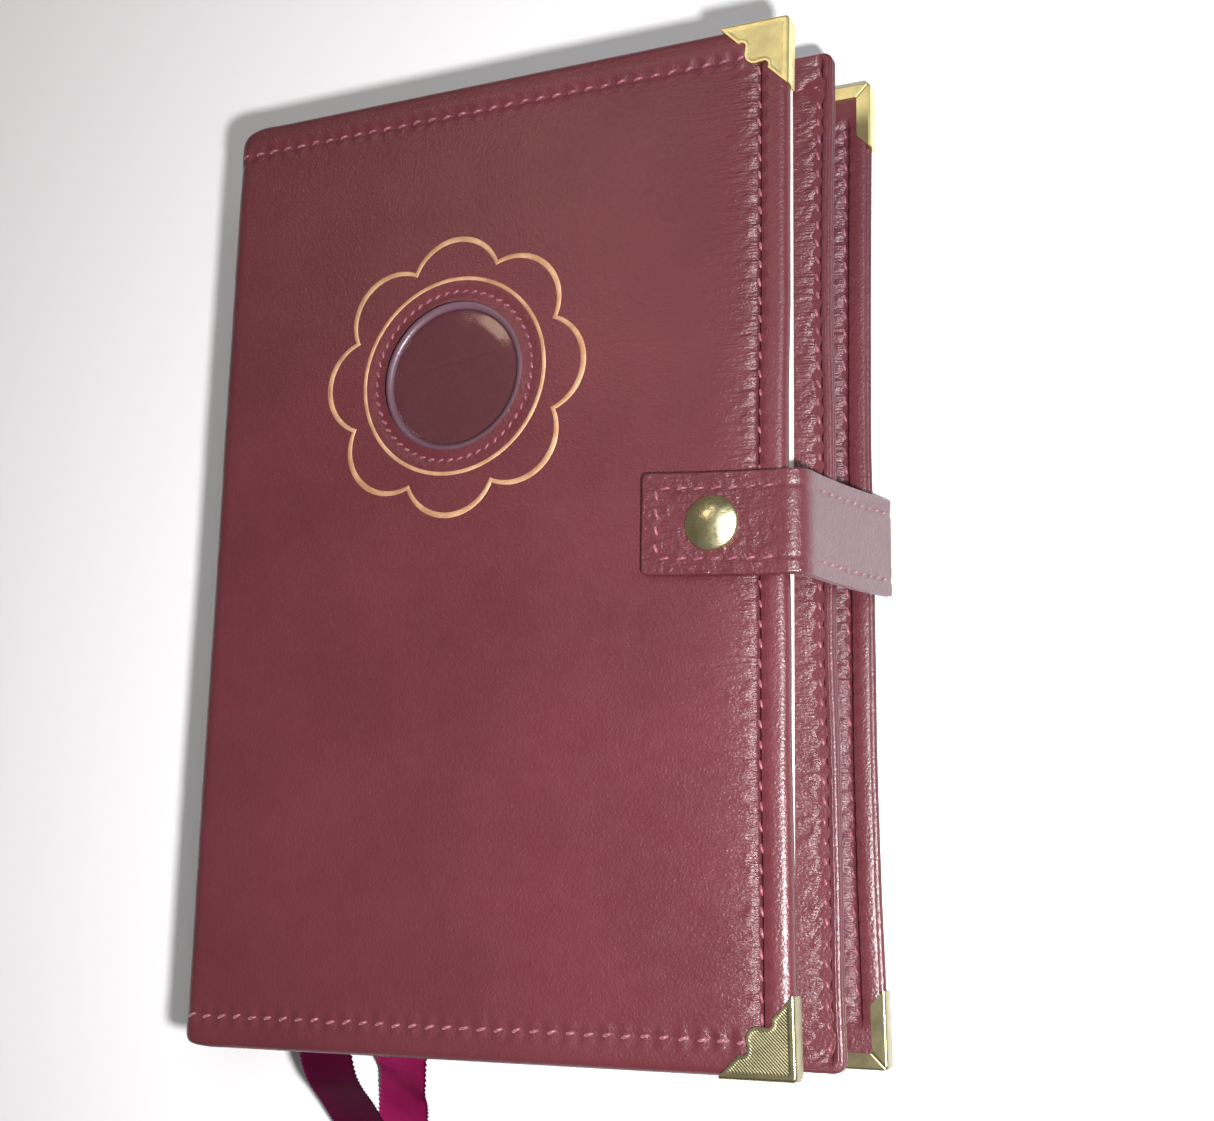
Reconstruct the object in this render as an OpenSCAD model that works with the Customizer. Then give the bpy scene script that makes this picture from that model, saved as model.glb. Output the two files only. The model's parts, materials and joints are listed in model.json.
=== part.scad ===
// Double book case of soft leather, lying closed on its back panel.
// X runs from the spine to the fore-edge, Y from the tail to the head, Z up.

/* [Case] */
// Height of every panel, tail to head
case_height = 222; // [180:1:260]
// Front panel, spine to fore-edge
front_width = 145; // [120:0.5:180]
// Middle divider, spine to fore-edge
divider_width = 149.5; // [120:0.5:190]
// Back panel, spine to fore-edge
back_width = 153; // [120:0.5:195]
// Thickness of the front and back panels
panel_thick = 4; // [3:0.1:6]
// Rounding of the panel corners, seen from above
corner_round = 2.5; // [2.5:0.5:15]
// Leather skin
leather = 1.2; // [0.8:0.1:2]

/* [Books] */
// Page width
page_width = 138; // [110:0.5:150]
// Page height
page_height = 210; // [170:0.5:216]
// Book in the front half, cover to cover
book_1_thick = 12.5; // [6:0.5:30]
// Book in the back half, cover to cover
book_2_thick = 14.5; // [6:0.5:30]
// Loose leaves that turn with the cover
leaf_stack = 1.3; // [0.5:0.1:3]
// Paper cover of each book
card = 0.4; // [0.2:0.1:0.8]

/* [Medallion window] */
// Clear opening
window_dia = 34; // [25:0.5:45]
// Centre of the window, from the spine
window_from_spine = 64.4; // [40:0.1:100]
// Centre of the window, above mid height
window_above_middle = 39.1; // [0:0.1:70]
// Gold rosette round the window, lobe tip to lobe tip
ornament_dia = 67; // [50:0.5:90]
// Number of lobes
ornament_lobes = 8; // [6:1:16]

/* [Strap] */
// Strap width
strap_width = 22; // [15:0.5:35]
// Length of the tab over the front panel
tab_length = 35; // [25:0.5:60]
// Press-stud cap
cap_dia = 11.8; // [8:0.1:16]
// Leather of each of the two strap layers
strap_leather = 1; // [0.6:0.1:1.5]

/* [Trim] */
// Brass corner, along the fore-edge and along the head or tail
corner_leg = 16; // [10:0.5:25]
// Narrow flange of a brass corner, on the inner face of the panel
corner_flange = 3.4; // [2.5:0.1:6]
// Brass sheet
brass = 0.4; // [0.3:0.1:0.8]
// Stitch line, from the panel edge
stitch_inset = 7; // [4:0.5:12]
// Ribbon width
ribbon_width = 13.5; // [6:0.5:16]

/* [Hidden] */
$fn = 64;
gap = 0.3;
rim = panel_thick / 2;
total_width = back_width + 2.5;
spine_x = -total_width / 2;
front_x = spine_x + front_width;
divider_x = spine_x + divider_width;
back_x = spine_x + back_width;
half_h = case_height / 2;

// levels, from the table up
back_top = panel_thick;
divider_low = back_top + book_2_thick;
divider_mid = divider_low + 2.5;
divider_top = divider_low + 5;
front_low = divider_top + book_1_thick;
front_top = front_low + panel_thick;
block_1_top = front_low - leaf_stack - 2 * gap;
block_2_top = divider_low - leaf_stack - 2 * gap;
card_depth = 0.8;
lining_low = front_low + card_depth + card;
board = 1.2;
divider_skin = 0.9;
pocket_width = 55;

// hinge line of the divider
divider_axis_z = divider_low - 0.1;

page_x = spine_x + 2.6;
window_x = spine_x + window_from_spine;
window_y = window_above_middle;
snap_x = front_x - 16.7;
thread = 0.3;

// strap, in the X-Z plane
strap_thick = 2 * strap_leather;
tab_low = front_top + 0.4;
tab_high = tab_low + strap_thick;
fold_x = front_x + 2.4;
fold_z = tab_low + strap_leather;
root_x = back_x + 1.5;
root_z = 1.3;
tab_x = fold_x - tab_length;
band_lean = atan2(root_x - fold_x, fold_z - root_z);
band_length = norm([root_x - fold_x, fold_z - root_z]);

// ribbon paths: out of the pages, over the tail edge and along the table
ribbon_1_path = [
    [-47, -95, 29], [-47, -106, 29], [-46.5, -112, 28], [-46.5, -118, 24],
    [-46.5, -123, 18], [-46.5, -128, 12.5], [-46.5, -134, 7.5], [-46, -141, 4],
    [-44.5, -149, 2.2], [-42, -157, 1.8], [-38.5, -168, 1.2], [-34.5, -182, 0.4]
];
ribbon_2_path = [
    [-36.5, -95, 11], [-36.5, -106, 11], [-37, -112, 11], [-38, -117, 8.5],
    [-40, -122, 3.8], [-41.5, -128, 1], [-43, -135, 0.4], [-46, -146, 0.4],
    [-50, -158, 0.4], [-55, -171, 0.4], [-60.5, -184, 0.4]
];

burgundy = [0.42, 0.18, 0.2];
lining_red = [0.33, 0.13, 0.15];
brass_gold = [0.8, 0.63, 0.32];
board_grey = [0.6, 0.57, 0.5];
paper_white = [0.93, 0.92, 0.87];
thread_pink = [0.72, 0.3, 0.42];

// ---- shared shapes ----

// Flat plate with square corners, from x0 to x1, centred in Y.
module plate(x0, x1, height, z0, z1) {
    translate([x0, -height / 2, z0])
        cube([x1 - x0, height, z1 - z0]);
}

// Plate whose two fore-edge corners are rounded to fit inside a panel's rim.
module fitted_plate(x0, x1, height, z0, z1) {
    round = max(0.5, corner_round - rim);
    translate([0, 0, z0])
        linear_extrude(z1 - z0) {
            translate([x0, -height / 2])
                square([x1 - round - x0, height]);
            translate([x1 - round - 1, -height / 2 + round])
                square([round + 1, height - 2 * round]);
            for (side = [-1, 1])
                translate([x1 - round, side * (height / 2 - round)])
                    circle(r = round);
        }
}

// Quarter of a disc with a half-round rim.
module soft_corner(thick, round) {
    rotate_extrude(angle = 90) {
        square([round - thick / 2, thick]);
        intersection() {
            translate([round - thick / 2, thick / 2])
                circle(d = thick);
            translate([round - thick / 2, 0])
                square([thick / 2, thick]);
        }
    }
}

// Plate whose four edges are half-round, with rounded corners.
module soft_plate(x0, x1, height, z0, thick) {
    round = corner_round;
    length_x = x1 - x0 - 2 * round;
    length_y = height - 2 * round;
    mid_x = (x0 + x1) / 2;
    translate([mid_x, 0, z0]) {
        translate([-length_x / 2 - round + thick / 2, -length_y / 2, 0])
            cube([length_x + 2 * round - thick, length_y, thick]);
        translate([-length_x / 2, -height / 2 + thick / 2, 0])
            cube([length_x, height - thick, thick]);
        for (side = [-1, 1]) {
            translate([side * (length_x / 2 + round - thick / 2), length_y / 2, thick / 2])
                rotate([90, 0, 0])
                    cylinder(d = thick, h = length_y);
            translate([-length_x / 2, side * (height - thick) / 2, thick / 2])
                rotate([0, 90, 0])
                    cylinder(d = thick, h = length_x);
        }
        for (turn = [0 : 3]) {
            across = turn == 0 || turn == 3 ? 1 : -1;
            along = turn < 2 ? 1 : -1;
            translate([across * length_x / 2, along * length_y / 2, 0])
                rotate([0, 0, 90 * turn])
                    soft_corner(thick, round);
        }
    }
}

// Outline of a brass corner with its tip at the origin, legs along -X and -Y.
// The narrow one is only the flange along the two legs.
module corner_outline(narrow) {
    leg = corner_leg;
    difference() {
        union() {
            polygon([[1, 1], [-leg, 1], [-leg, -1], [-1, -leg], [1, -leg]]);
            translate([-leg * 0.47, -leg * 0.47])
                circle(d = leg * 0.3);
        }
        for (way = [-1, 1])
            translate([-leg * (0.52 + way * 0.19), -leg * (0.52 - way * 0.19)])
                circle(d = leg * 0.16);
        if (narrow)
            translate([-corner_flange - leg, -corner_flange - leg])
                square(leg);
    }
}

// Upright prism of a brass corner's outline between two levels.
// end is 1 at the head and -1 at the tail.
module corner_prism(edge_x, end, z0, z1, narrow) {
    translate([edge_x, end * half_h, z0])
        mirror([0, end < 0 ? 1 : 0, 0])
            linear_extrude(z1 - z0)
                corner_outline(narrow);
}

// Thin brass cap folded over one fore-edge corner of a panel.
// z_low is the underside of the cap; its narrow flange is on top when narrow_up is true.
module brass_corner(edge_x, end, z_low, narrow_up) {
    z_mid = z_low + panel_thick / 2;
    intersection() {
        union() {
            corner_prism(edge_x, end, z_low, z_mid, !narrow_up);
            corner_prism(edge_x, end, z_mid, z_low + panel_thick + brass, narrow_up);
        }
        difference() {
            soft_plate(spine_x, edge_x + brass, case_height + 2 * brass, z_low, panel_thick + brass);
            difference() {
                soft_plate(spine_x, edge_x, case_height, z_low, panel_thick);
                plate(spine_x - 1, edge_x + 1, case_height + 2, z_low - 1, z_low + brass);
            }
        }
    }
}

// Space that both brass corners of a panel take up.
module corner_space(edge_x, z_low, z_high, narrow) {
    for (end = [-1, 1])
        corner_prism(edge_x, end, z_low, z_high, narrow);
}

// Pages or a stack of leaves.
module pages(z0, z1) {
    plate(page_x + card, page_x + page_width, page_height, z0, z1);
}

// Paper cover lying in a panel.
module book_card(z0) {
    plate(page_x, page_x + page_width + 1, page_height + 2, z0, z0 + card);
}

// Thread line along the head, fore-edge and tail of a panel.
module thread_line(edge_x, z0, inset_x, inset_y, corner_gap) {
    for (end = [-1, 1])
        translate([spine_x + 5, end * (half_h - inset_y) - thread, z0])
            cube([edge_x - spine_x - 5 - corner_gap, 2 * thread, thread]);
    translate([edge_x - inset_x - thread, -half_h + corner_gap, z0])
        cube([2 * thread, case_height - 2 * corner_gap, thread]);
}

// Flat band of the given width swept along a path, ten corners round.
module ribbon(path) {
    count = len(path);
    sides = 10;
    function ahead(i) = path[min(i + 1, count - 1)] - path[max(i - 1, 0)];
    function unit(v) = v / norm(v);
    function across(i) = unit([ahead(i)[1], -ahead(i)[0], 0]);
    function up(i) = unit(cross(across(i), ahead(i)));
    points = [
        for (i = [0 : count - 1], k = [0 : sides - 1])
            path[i] + across(i) * cos(360 * k / sides) * ribbon_width / 2
                - up(i) * sin(360 * k / sides) * 0.3
    ];
    faces = concat(
        [[for (k = [0 : sides - 1]) k]],
        [[for (k = [sides - 1 : -1 : 0]) (count - 1) * sides + k]],
        [for (i = [0 : count - 2], k = [0 : sides - 1])
            [i * sides + k, (i + 1) * sides + k, (i + 1) * sides + (k + 1) % sides]],
        [for (i = [0 : count - 2], k = [0 : sides - 1])
            [i * sides + k, (i + 1) * sides + (k + 1) % sides, i * sides + (k + 1) % sides]]
    );
    polyhedron(points, faces, convexity = 6);
}

// ---- back panel ----

module back_leather() {
    color(burgundy)
    difference() {
        soft_plate(spine_x, back_x, case_height, 0, panel_thick);
        fitted_plate(spine_x + rim, back_x - rim, case_height - 2 * rim, leather, panel_thick + 1);
        corner_space(back_x, -1, brass, false);
        strap_inlay();
    }
}

module back_board() {
    color(board_grey)
    fitted_plate(spine_x + rim, back_x - rim, case_height - 2 * rim, leather, leather + board);
}

module back_lining() {
    color(lining_red)
    fitted_plate(spine_x + rim, back_x - rim, case_height - 2 * rim, leather + board, leather + board + 0.4);
}

// Inside pocket strip with a slot for the paper cover.
module pocket_strip(edge_x, z0, z1, slot_z) {
    difference() {
        fitted_plate(edge_x - pocket_width, edge_x - rim, case_height - 2 * rim, z0, z1);
        plate(edge_x - pocket_width - 1, page_x + page_width + 1, page_height + 2, slot_z, slot_z + card);
    }
}

module back_pocket() {
    color(burgundy)
    pocket_strip(back_x, back_top - 1.2, back_top, back_top - 1.2);
}

module back_stitching() {
    color(thread_pink)
    thread_line(back_x, back_top, 5.5, 4.5, corner_leg + 0.6);
}

module back_corner(end) {
    color(brass_gold)
    brass_corner(back_x, end, 0, true);
}

module back_corner_head() {
    back_corner(1);
}

module back_corner_tail() {
    back_corner(-1);
}

// Stitched end of the strap, let into the outside of the back panel.
module strap_inlay() {
    translate([back_x - 26, -strap_width / 2, -0.1])
        cube([25.2, strap_width, 0.9]);
}

module strap_anchor() {
    color(burgundy)
    translate([back_x - 26, -strap_width / 2, 0])
        cube([24.4, strap_width, 0.8]);
}

module spine_leather_lower() {
    color(burgundy)
    difference() {
        plate(spine_x, spine_x + leather, case_height - 2 * corner_round, back_top / 2, divider_axis_z - 0.2);
        soft_plate(spine_x, back_x, case_height, 0, panel_thick);
    }
}

// ---- book in the back half ----

module book_2_back_cover() {
    color(paper_white)
    book_card(back_top - 1.2);
}

module book_2_spine() {
    color(paper_white)
    plate(page_x, page_x + card, page_height, back_top - 0.8, block_2_top);
}

module book_2_text_block() {
    color(paper_white)
    difference() {
        pages(back_top, block_2_top);
        ribbon_slot(ribbon_2_path);
    }
}

module book_2_leaves() {
    color(paper_white)
    pages(divider_low - leaf_stack - gap, divider_low - gap);
}

// Room between two leaves for a ribbon.
module ribbon_slot(path) {
    translate([path[0][0] - ribbon_width / 2 - 0.5, -page_height / 2 - 1, path[0][2] - 0.5])
        cube([ribbon_width + 1, 12, 1]);
}

module ribbon_2() {
    color([0.55, 0.12, 0.33])
    ribbon(ribbon_2_path);
}

// ---- divider ----

module divider_leather(z0) {
    color(burgundy)
    difference() {
        soft_plate(spine_x + gap, divider_x, case_height, divider_mid - 1.5, 3);
        fitted_plate(spine_x + rim, divider_x - rim, case_height - 2 * rim, divider_mid - 0.6, divider_mid + 0.6);
        plate(spine_x - 5, divider_x + 5, case_height + 10, z0 > 0 ? divider_mid - 5 : divider_mid,
            z0 > 0 ? divider_mid : divider_mid + 5);
    }
}

module divider_leather_lower() {
    divider_leather(-1);
}

module divider_leather_upper() {
    divider_leather(1);
}

module divider_board() {
    color(board_grey)
    fitted_plate(spine_x + rim, divider_x - rim, case_height - 2 * rim, divider_mid - 0.6, divider_mid + 0.6);
}

// Pocket sewn on the divider; the slot is next to the divider's skin.
module divider_pocket(z0, slot_z) {
    color(burgundy)
    difference() {
        plate(divider_x - pocket_width, divider_x - 4.5, case_height - 9, z0, z0 + 1);
        plate(divider_x - pocket_width - 1, page_x + page_width + 1, page_height + 2, slot_z, slot_z + card);
    }
}

module divider_pocket_lower() {
    divider_pocket(divider_low, divider_low + 1 - card);
}

module divider_pocket_upper() {
    divider_pocket(divider_top - 1, divider_top - 1);
}

module divider_stitching() {
    color(thread_pink)
    thread_line(divider_x, divider_mid + 1.5, 3, 3, 3);
}

module spine_leather_upper() {
    color(burgundy)
    difference() {
        plate(spine_x, spine_x + leather, case_height - 2 * corner_round, divider_mid, front_low - 0.4);
        soft_plate(spine_x + gap, divider_x, case_height, divider_mid - 1.5, 3);
    }
}

module book_2_front_cover() {
    color(paper_white)
    book_card(divider_low + 1 - card);
}

module book_1_back_cover() {
    color(paper_white)
    book_card(divider_top - 1);
}

module book_1_spine() {
    color(paper_white)
    plate(page_x, page_x + card, page_height, divider_top - 1 + card, block_1_top);
}

module book_1_text_block() {
    color(paper_white)
    difference() {
        pages(divider_top, block_1_top);
        ribbon_slot(ribbon_1_path);
    }
}

module book_1_leaves() {
    color(paper_white)
    pages(front_low - leaf_stack - gap, front_low - gap);
}

module ribbon_1() {
    color([0.33, 0.05, 0.16])
    ribbon(ribbon_1_path);
}

// ---- front panel ----

module front_leather() {
    color(burgundy)
    difference() {
        soft_plate(spine_x + gap, front_x, case_height, front_low, panel_thick);
        fitted_plate(spine_x + rim, front_x - rim, case_height - 2 * rim, front_low - 1, front_top - leather);
        translate([window_x, window_y, front_low])
            cylinder(d = window_dia + 2, h = panel_thick + 1);
        translate([snap_x, 0, front_low])
            cylinder(d = 3, h = panel_thick + 1);
        corner_space(front_x, front_low - 1, front_low + brass, true);
    }
}

module front_board() {
    color(board_grey)
    difference() {
        fitted_plate(spine_x + rim, front_x - rim, case_height - 2 * rim, front_top - leather - board, front_top - leather);
        translate([window_x, window_y, front_low])
            cylinder(d = window_dia + 5, h = panel_thick);
        translate([snap_x, 0, front_low])
            cylinder(d = 3, h = panel_thick);
    }
}

module front_lining() {
    color(lining_red)
    difference() {
        fitted_plate(spine_x + rim, front_x - rim, case_height - 2 * rim, lining_low, front_top - leather - board);
        translate([snap_x, 0, front_low])
            cylinder(d = 10, h = panel_thick);
    }
}

module front_pocket() {
    color(burgundy)
    difference() {
        pocket_strip(front_x, front_low, front_low + 1.2, front_low + 0.8);
        corner_space(front_x, front_low - 1, front_low + brass, true);
    }
}

module front_stitching() {
    color(thread_pink)
    thread_line(front_x, front_top, stitch_inset, stitch_inset, corner_leg + 0.6);
}

module book_1_front_cover() {
    color(paper_white)
    book_card(front_low + card_depth);
}

module front_corner(end) {
    color(brass_gold)
    brass_corner(front_x, end, front_low, false);
}

module front_corner_head() {
    front_corner(1);
}

module front_corner_tail() {
    front_corner(-1);
}

module window_film() {
    color([0.85, 0.85, 0.9, 0.4])
    translate([window_x, window_y, front_top - leather - 0.4])
        cylinder(d = window_dia + 4.6, h = 0.4);
}

module window_ring() {
    color([0.45, 0.36, 0.42])
    translate([window_x, window_y, front_top - leather])
        rotate_extrude() {
            translate([window_dia / 2, 0])
                square([1, leather]);
            translate([window_dia / 2 + 0.5, leather])
                circle(d = 1, $fn = 24);
        }
}

module window_stitching() {
    color(thread_pink)
    translate([window_x, window_y, front_top])
        rotate_extrude()
            translate([window_dia / 2 + 3 - thread, 0])
                square([2 * thread, thread]);
}

module medallion_backing() {
    color(lining_red)
    translate([window_x, window_y, front_top - leather - board])
        cylinder(d = window_dia + 4.6, h = 0.5);
}

// Rosette outline of round lobes, with a plain ring inside it.
module front_ornament() {
    tip = ornament_dia / 2;
    lobe = tip * 0.36;
    line = 1.4;
    color(brass_gold)
    translate([window_x, window_y, front_top])
        linear_extrude(0.15) {
            difference() {
                rosette(tip - lobe, lobe);
                rosette(tip - lobe, lobe - line);
            }
            difference() {
                circle(r = tip * 0.69);
                circle(r = tip * 0.69 - line * 0.7);
            }
        }
}

module rosette(reach, lobe) {
    circle(r = reach);
    for (i = [0 : ornament_lobes - 1])
        rotate(i * 360 / ornament_lobes)
            translate([reach, 0])
                circle(r = lobe);
}

// Post through the panel with a low head above and a washer below.
module snap_stud() {
    color(brass_gold)
    translate([snap_x, 0, 0]) {
        translate([0, 0, lining_low])
            cylinder(d = 9, h = 0.4);
        translate([0, 0, lining_low])
            cylinder(d = 3, h = front_top - lining_low);
        translate([0, 0, front_top])
            cylinder(d = 3.4, h = 0.8);
    }
}

// ---- strap ----

// Band standing between the back panel and the front panel, drawn in the X-Z plane.
module across_strap() {
    translate([0, strap_width / 2, 0])
        rotate([90, 0, 0])
            linear_extrude(strap_width)
                children();
}

// One layer of the band; near and far are measured outwards from its middle.
module band_layer(near, far) {
    translate([root_x, root_z])
        rotate(band_lean)
            translate([near, 0])
                square([far - near, band_length]);
}

// Rounded folds at the two ends of the band.
module band_folds() {
    translate([root_x, root_z])
        circle(r = 0.9 * strap_leather);
    translate([fold_x, fold_z])
        circle(r = 0.9 * strap_leather);
}

module strap_band_outer() {
    color(burgundy)
    across_strap()
        union() {
            band_layer(0, strap_leather);
            band_folds();
        }
}

module strap_band_lining() {
    color(lining_red)
    across_strap()
        difference() {
            band_layer(-strap_leather, 0);
            band_folds();
        }
}

// One layer of the tab that lies over the front panel.
module tab_layer(z0) {
    translate([0, 0, z0])
        linear_extrude(strap_leather)
            difference() {
                translate([tab_x, -strap_width / 2])
                    square([tab_length - strap_leather - gap, strap_width]);
                for (side = [-1, 1])
                    translate([tab_x, side * strap_width / 2])
                        rotate(45)
                            square(1.6, center = true);
            }
}

module strap_tab_outer() {
    color(burgundy)
    difference() {
        tab_layer(fold_z);
        translate([snap_x, 0, 0])
            cylinder(d = 3, h = 100);
    }
}

module strap_tab_lining() {
    color(lining_red)
    difference() {
        tab_layer(tab_low);
        translate([snap_x, 0, 0])
            cylinder(d = 9.6, h = 100);
    }
}

module strap_stitching() {
    color(thread_pink)
    union() {
        for (side = [-1, 1])
            translate([tab_x + 3.5, side * (strap_width / 2 - 3.5) - thread, tab_high])
                cube([tab_length - 6, 2 * thread, thread]);
        translate([tab_x + 3.5, -strap_width / 2 + 3.5, tab_high])
            cube([2 * thread, strap_width - 7, thread]);
    }
}

// Domed cap on the outside of the tab.
module snap_cap() {
    dome = 2.2;
    sphere_r = (cap_dia * cap_dia / 4 + dome * dome) / (2 * dome);
    color(brass_gold)
    translate([snap_x, 0, tab_high]) {
        intersection() {
            translate([0, 0, dome - sphere_r])
                sphere(r = sphere_r);
            cylinder(d = cap_dia, h = dome + 1);
        }
        translate([0, 0, -strap_leather])
            cylinder(d = 3, h = strap_leather + 0.5);
    }
}

// Ring under the tab that snaps over the stud.
module snap_socket() {
    color(brass_gold)
    translate([snap_x, 0, tab_low])
        difference() {
            cylinder(d = 9.6, h = strap_leather);
            translate([0, 0, -1])
                cylinder(d = 6.4, h = 1.7);
        }
}

back_leather();
back_board();
back_lining();
back_pocket();
back_stitching();
back_corner_head();
back_corner_tail();
spine_leather_lower();
strap_anchor();
book_2_back_cover();
book_2_spine();
book_2_text_block();
book_2_leaves();
ribbon_2();
divider_leather_lower();
divider_board();
divider_leather_upper();
divider_pocket_lower();
divider_pocket_upper();
divider_stitching();
spine_leather_upper();
book_2_front_cover();
book_1_back_cover();
book_1_spine();
book_1_text_block();
book_1_leaves();
ribbon_1();
front_leather();
front_board();
front_lining();
front_pocket();
front_stitching();
book_1_front_cover();
front_corner_head();
front_corner_tail();
window_film();
window_ring();
window_stitching();
medallion_backing();
front_ornament();
snap_stud();
strap_band_outer();
strap_band_lining();
strap_tab_outer();
strap_tab_lining();
strap_stitching();
snap_cap();
snap_socket();
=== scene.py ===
import json
import math

import bpy
import numpy as np
from mathutils import Matrix, Vector


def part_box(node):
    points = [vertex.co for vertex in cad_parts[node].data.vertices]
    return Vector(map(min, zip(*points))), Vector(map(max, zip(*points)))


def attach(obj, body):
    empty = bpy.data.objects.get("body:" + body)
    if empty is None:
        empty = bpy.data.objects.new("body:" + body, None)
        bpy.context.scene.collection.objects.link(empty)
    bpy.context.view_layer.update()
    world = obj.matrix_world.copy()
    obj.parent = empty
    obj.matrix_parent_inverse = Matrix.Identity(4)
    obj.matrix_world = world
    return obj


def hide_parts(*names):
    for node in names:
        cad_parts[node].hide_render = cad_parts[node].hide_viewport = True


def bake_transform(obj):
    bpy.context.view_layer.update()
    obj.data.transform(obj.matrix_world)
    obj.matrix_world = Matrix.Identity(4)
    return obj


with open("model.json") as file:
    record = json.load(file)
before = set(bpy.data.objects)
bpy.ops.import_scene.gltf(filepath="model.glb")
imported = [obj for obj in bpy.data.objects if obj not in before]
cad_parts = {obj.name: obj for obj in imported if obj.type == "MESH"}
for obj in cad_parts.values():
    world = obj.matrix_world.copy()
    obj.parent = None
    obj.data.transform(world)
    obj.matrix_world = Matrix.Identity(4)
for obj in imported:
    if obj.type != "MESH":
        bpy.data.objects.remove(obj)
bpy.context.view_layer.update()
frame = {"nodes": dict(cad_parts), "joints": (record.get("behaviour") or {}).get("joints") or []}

# Lengths below are in millimetres in the shared frame; meshes are made in metres.
MM = 0.001
CENTRE = (0.0, 0.0, 0.0)


# ---------------------------------------------------------------- sizes from the frame


def node_box(node):
    """Lowest and highest corner of a CAD node in millimetres."""
    low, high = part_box(node)
    return [v / MM for v in low], [v / MM for v in high]


FRONT_LOW, FRONT_HIGH = node_box("front_leather")
BACK_LOW, BACK_HIGH = node_box("back_leather")
DIVIDER_HIGH = node_box("divider_leather_upper")[1]
SPINE_X = BACK_LOW[0]
HALF_H = BACK_HIGH[1]
FRONT_TOP = FRONT_HIGH[2]
FRONT_X = FRONT_HIGH[0]
DIVIDER_X = DIVIDER_HIGH[0]
BACK_X = BACK_HIGH[0]
WINDOW_LOW, WINDOW_HIGH = node_box("window_film")
WINDOW_X = (WINDOW_LOW[0] + WINDOW_HIGH[0]) / 2
WINDOW_Y = (WINDOW_LOW[1] + WINDOW_HIGH[1]) / 2
CAP_LOW, CAP_HIGH = node_box("snap_cap")
SNAP_X = (CAP_LOW[0] + CAP_HIGH[0]) / 2
CAP_R = (CAP_HIGH[0] - CAP_LOW[0]) / 2
TAB_LOW = node_box("strap_tab_lining")[0]
TAB_HIGH = node_box("strap_tab_outer")[1]
STRAP_W = TAB_HIGH[1] - TAB_LOW[1]
JOINT = {joint["name"]: [v / MM for v in joint["pos_m"]] for joint in frame["joints"]}

PANEL = FRONT_HIGH[2] - FRONT_LOW[2]
SKIN = 1.2
SKIN_EDGE = 2.8
LAYER_STEP = 0.8
CORNER = 2.5
STITCH_IN = 7.0
BACK_INSETS = (6.0, 4.5, 4.5)  # stitches in from the fore-edge, the head and the tail
FRONT_ROOM = 9.0  # length at each brass corner that has no stitches
BACK_ROOM = 9.5
POCKET_W = 53
PITCH = 4.1
STRAP_PITCH = 3.6
STITCH_STEPS = 7
STRAP_INSET = 3.5
WINDOW_R = 17.0
WINDOW_SEAM = 3  # how far outside the opening the window's stitches run
ROUND_STEPS = 96  # corners of the window's circles
ORNAMENT_R = 33.5
LOBES = 8
RIBBON_W = 13.5
FRONT_BOW = (1.2, 3)  # how far each fore-edge is hollow, and the seed of its unevenness
BACK_BOW = (1.4, 5)
DIVIDER_BOW = (1.2, 9)
LEAF_BENDS = (1, 2, 3, 4, 5, 6, 7, 8, 9, 10)  # distances from the spine at which a leaf can curve

# levels at which the three leather parts of the spine meet
LOWER_JOIN = 12.0
UPPER_JOIN = 28.0


# ---------------------------------------------------------------- camera and light

CAMERA = Vector((169.6, -80.3, 359.7)) * MM
AHEAD = Vector((-0.4011, 0.2051, -0.8928)).normalized()
RIGHT = Vector((0.9134, 0.0160, -0.4067)).normalized()
UP = RIGHT.cross(AHEAD).normalized()


def make_camera():
    """Camera on the fore-edge side, looking down at the front panel."""
    data = bpy.data.cameras.new("camera")
    data.sensor_width = 36
    data.lens = 49.9
    data.clip_start = 0.01
    camera = bpy.data.objects.new("camera", data)
    turn = Matrix((UP.cross(-AHEAD), UP, -AHEAD)).transposed().to_4x4()
    camera.matrix_world = Matrix.Translation(CAMERA) @ turn
    bpy.context.scene.collection.objects.link(camera)
    bpy.context.scene.camera = camera


def area_light(name, place, target, size, power, colour):
    data = bpy.data.lights.new(name, "AREA")
    data.shape = "DISK"
    data.size = size
    data.energy = power
    data.color = colour
    light = bpy.data.objects.new(name, data)
    light.location = place
    aim = Vector(target) - Vector(place)
    light.rotation_euler = aim.to_track_quat("-Z", "Y").to_euler()
    bpy.context.scene.collection.objects.link(light)


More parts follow.
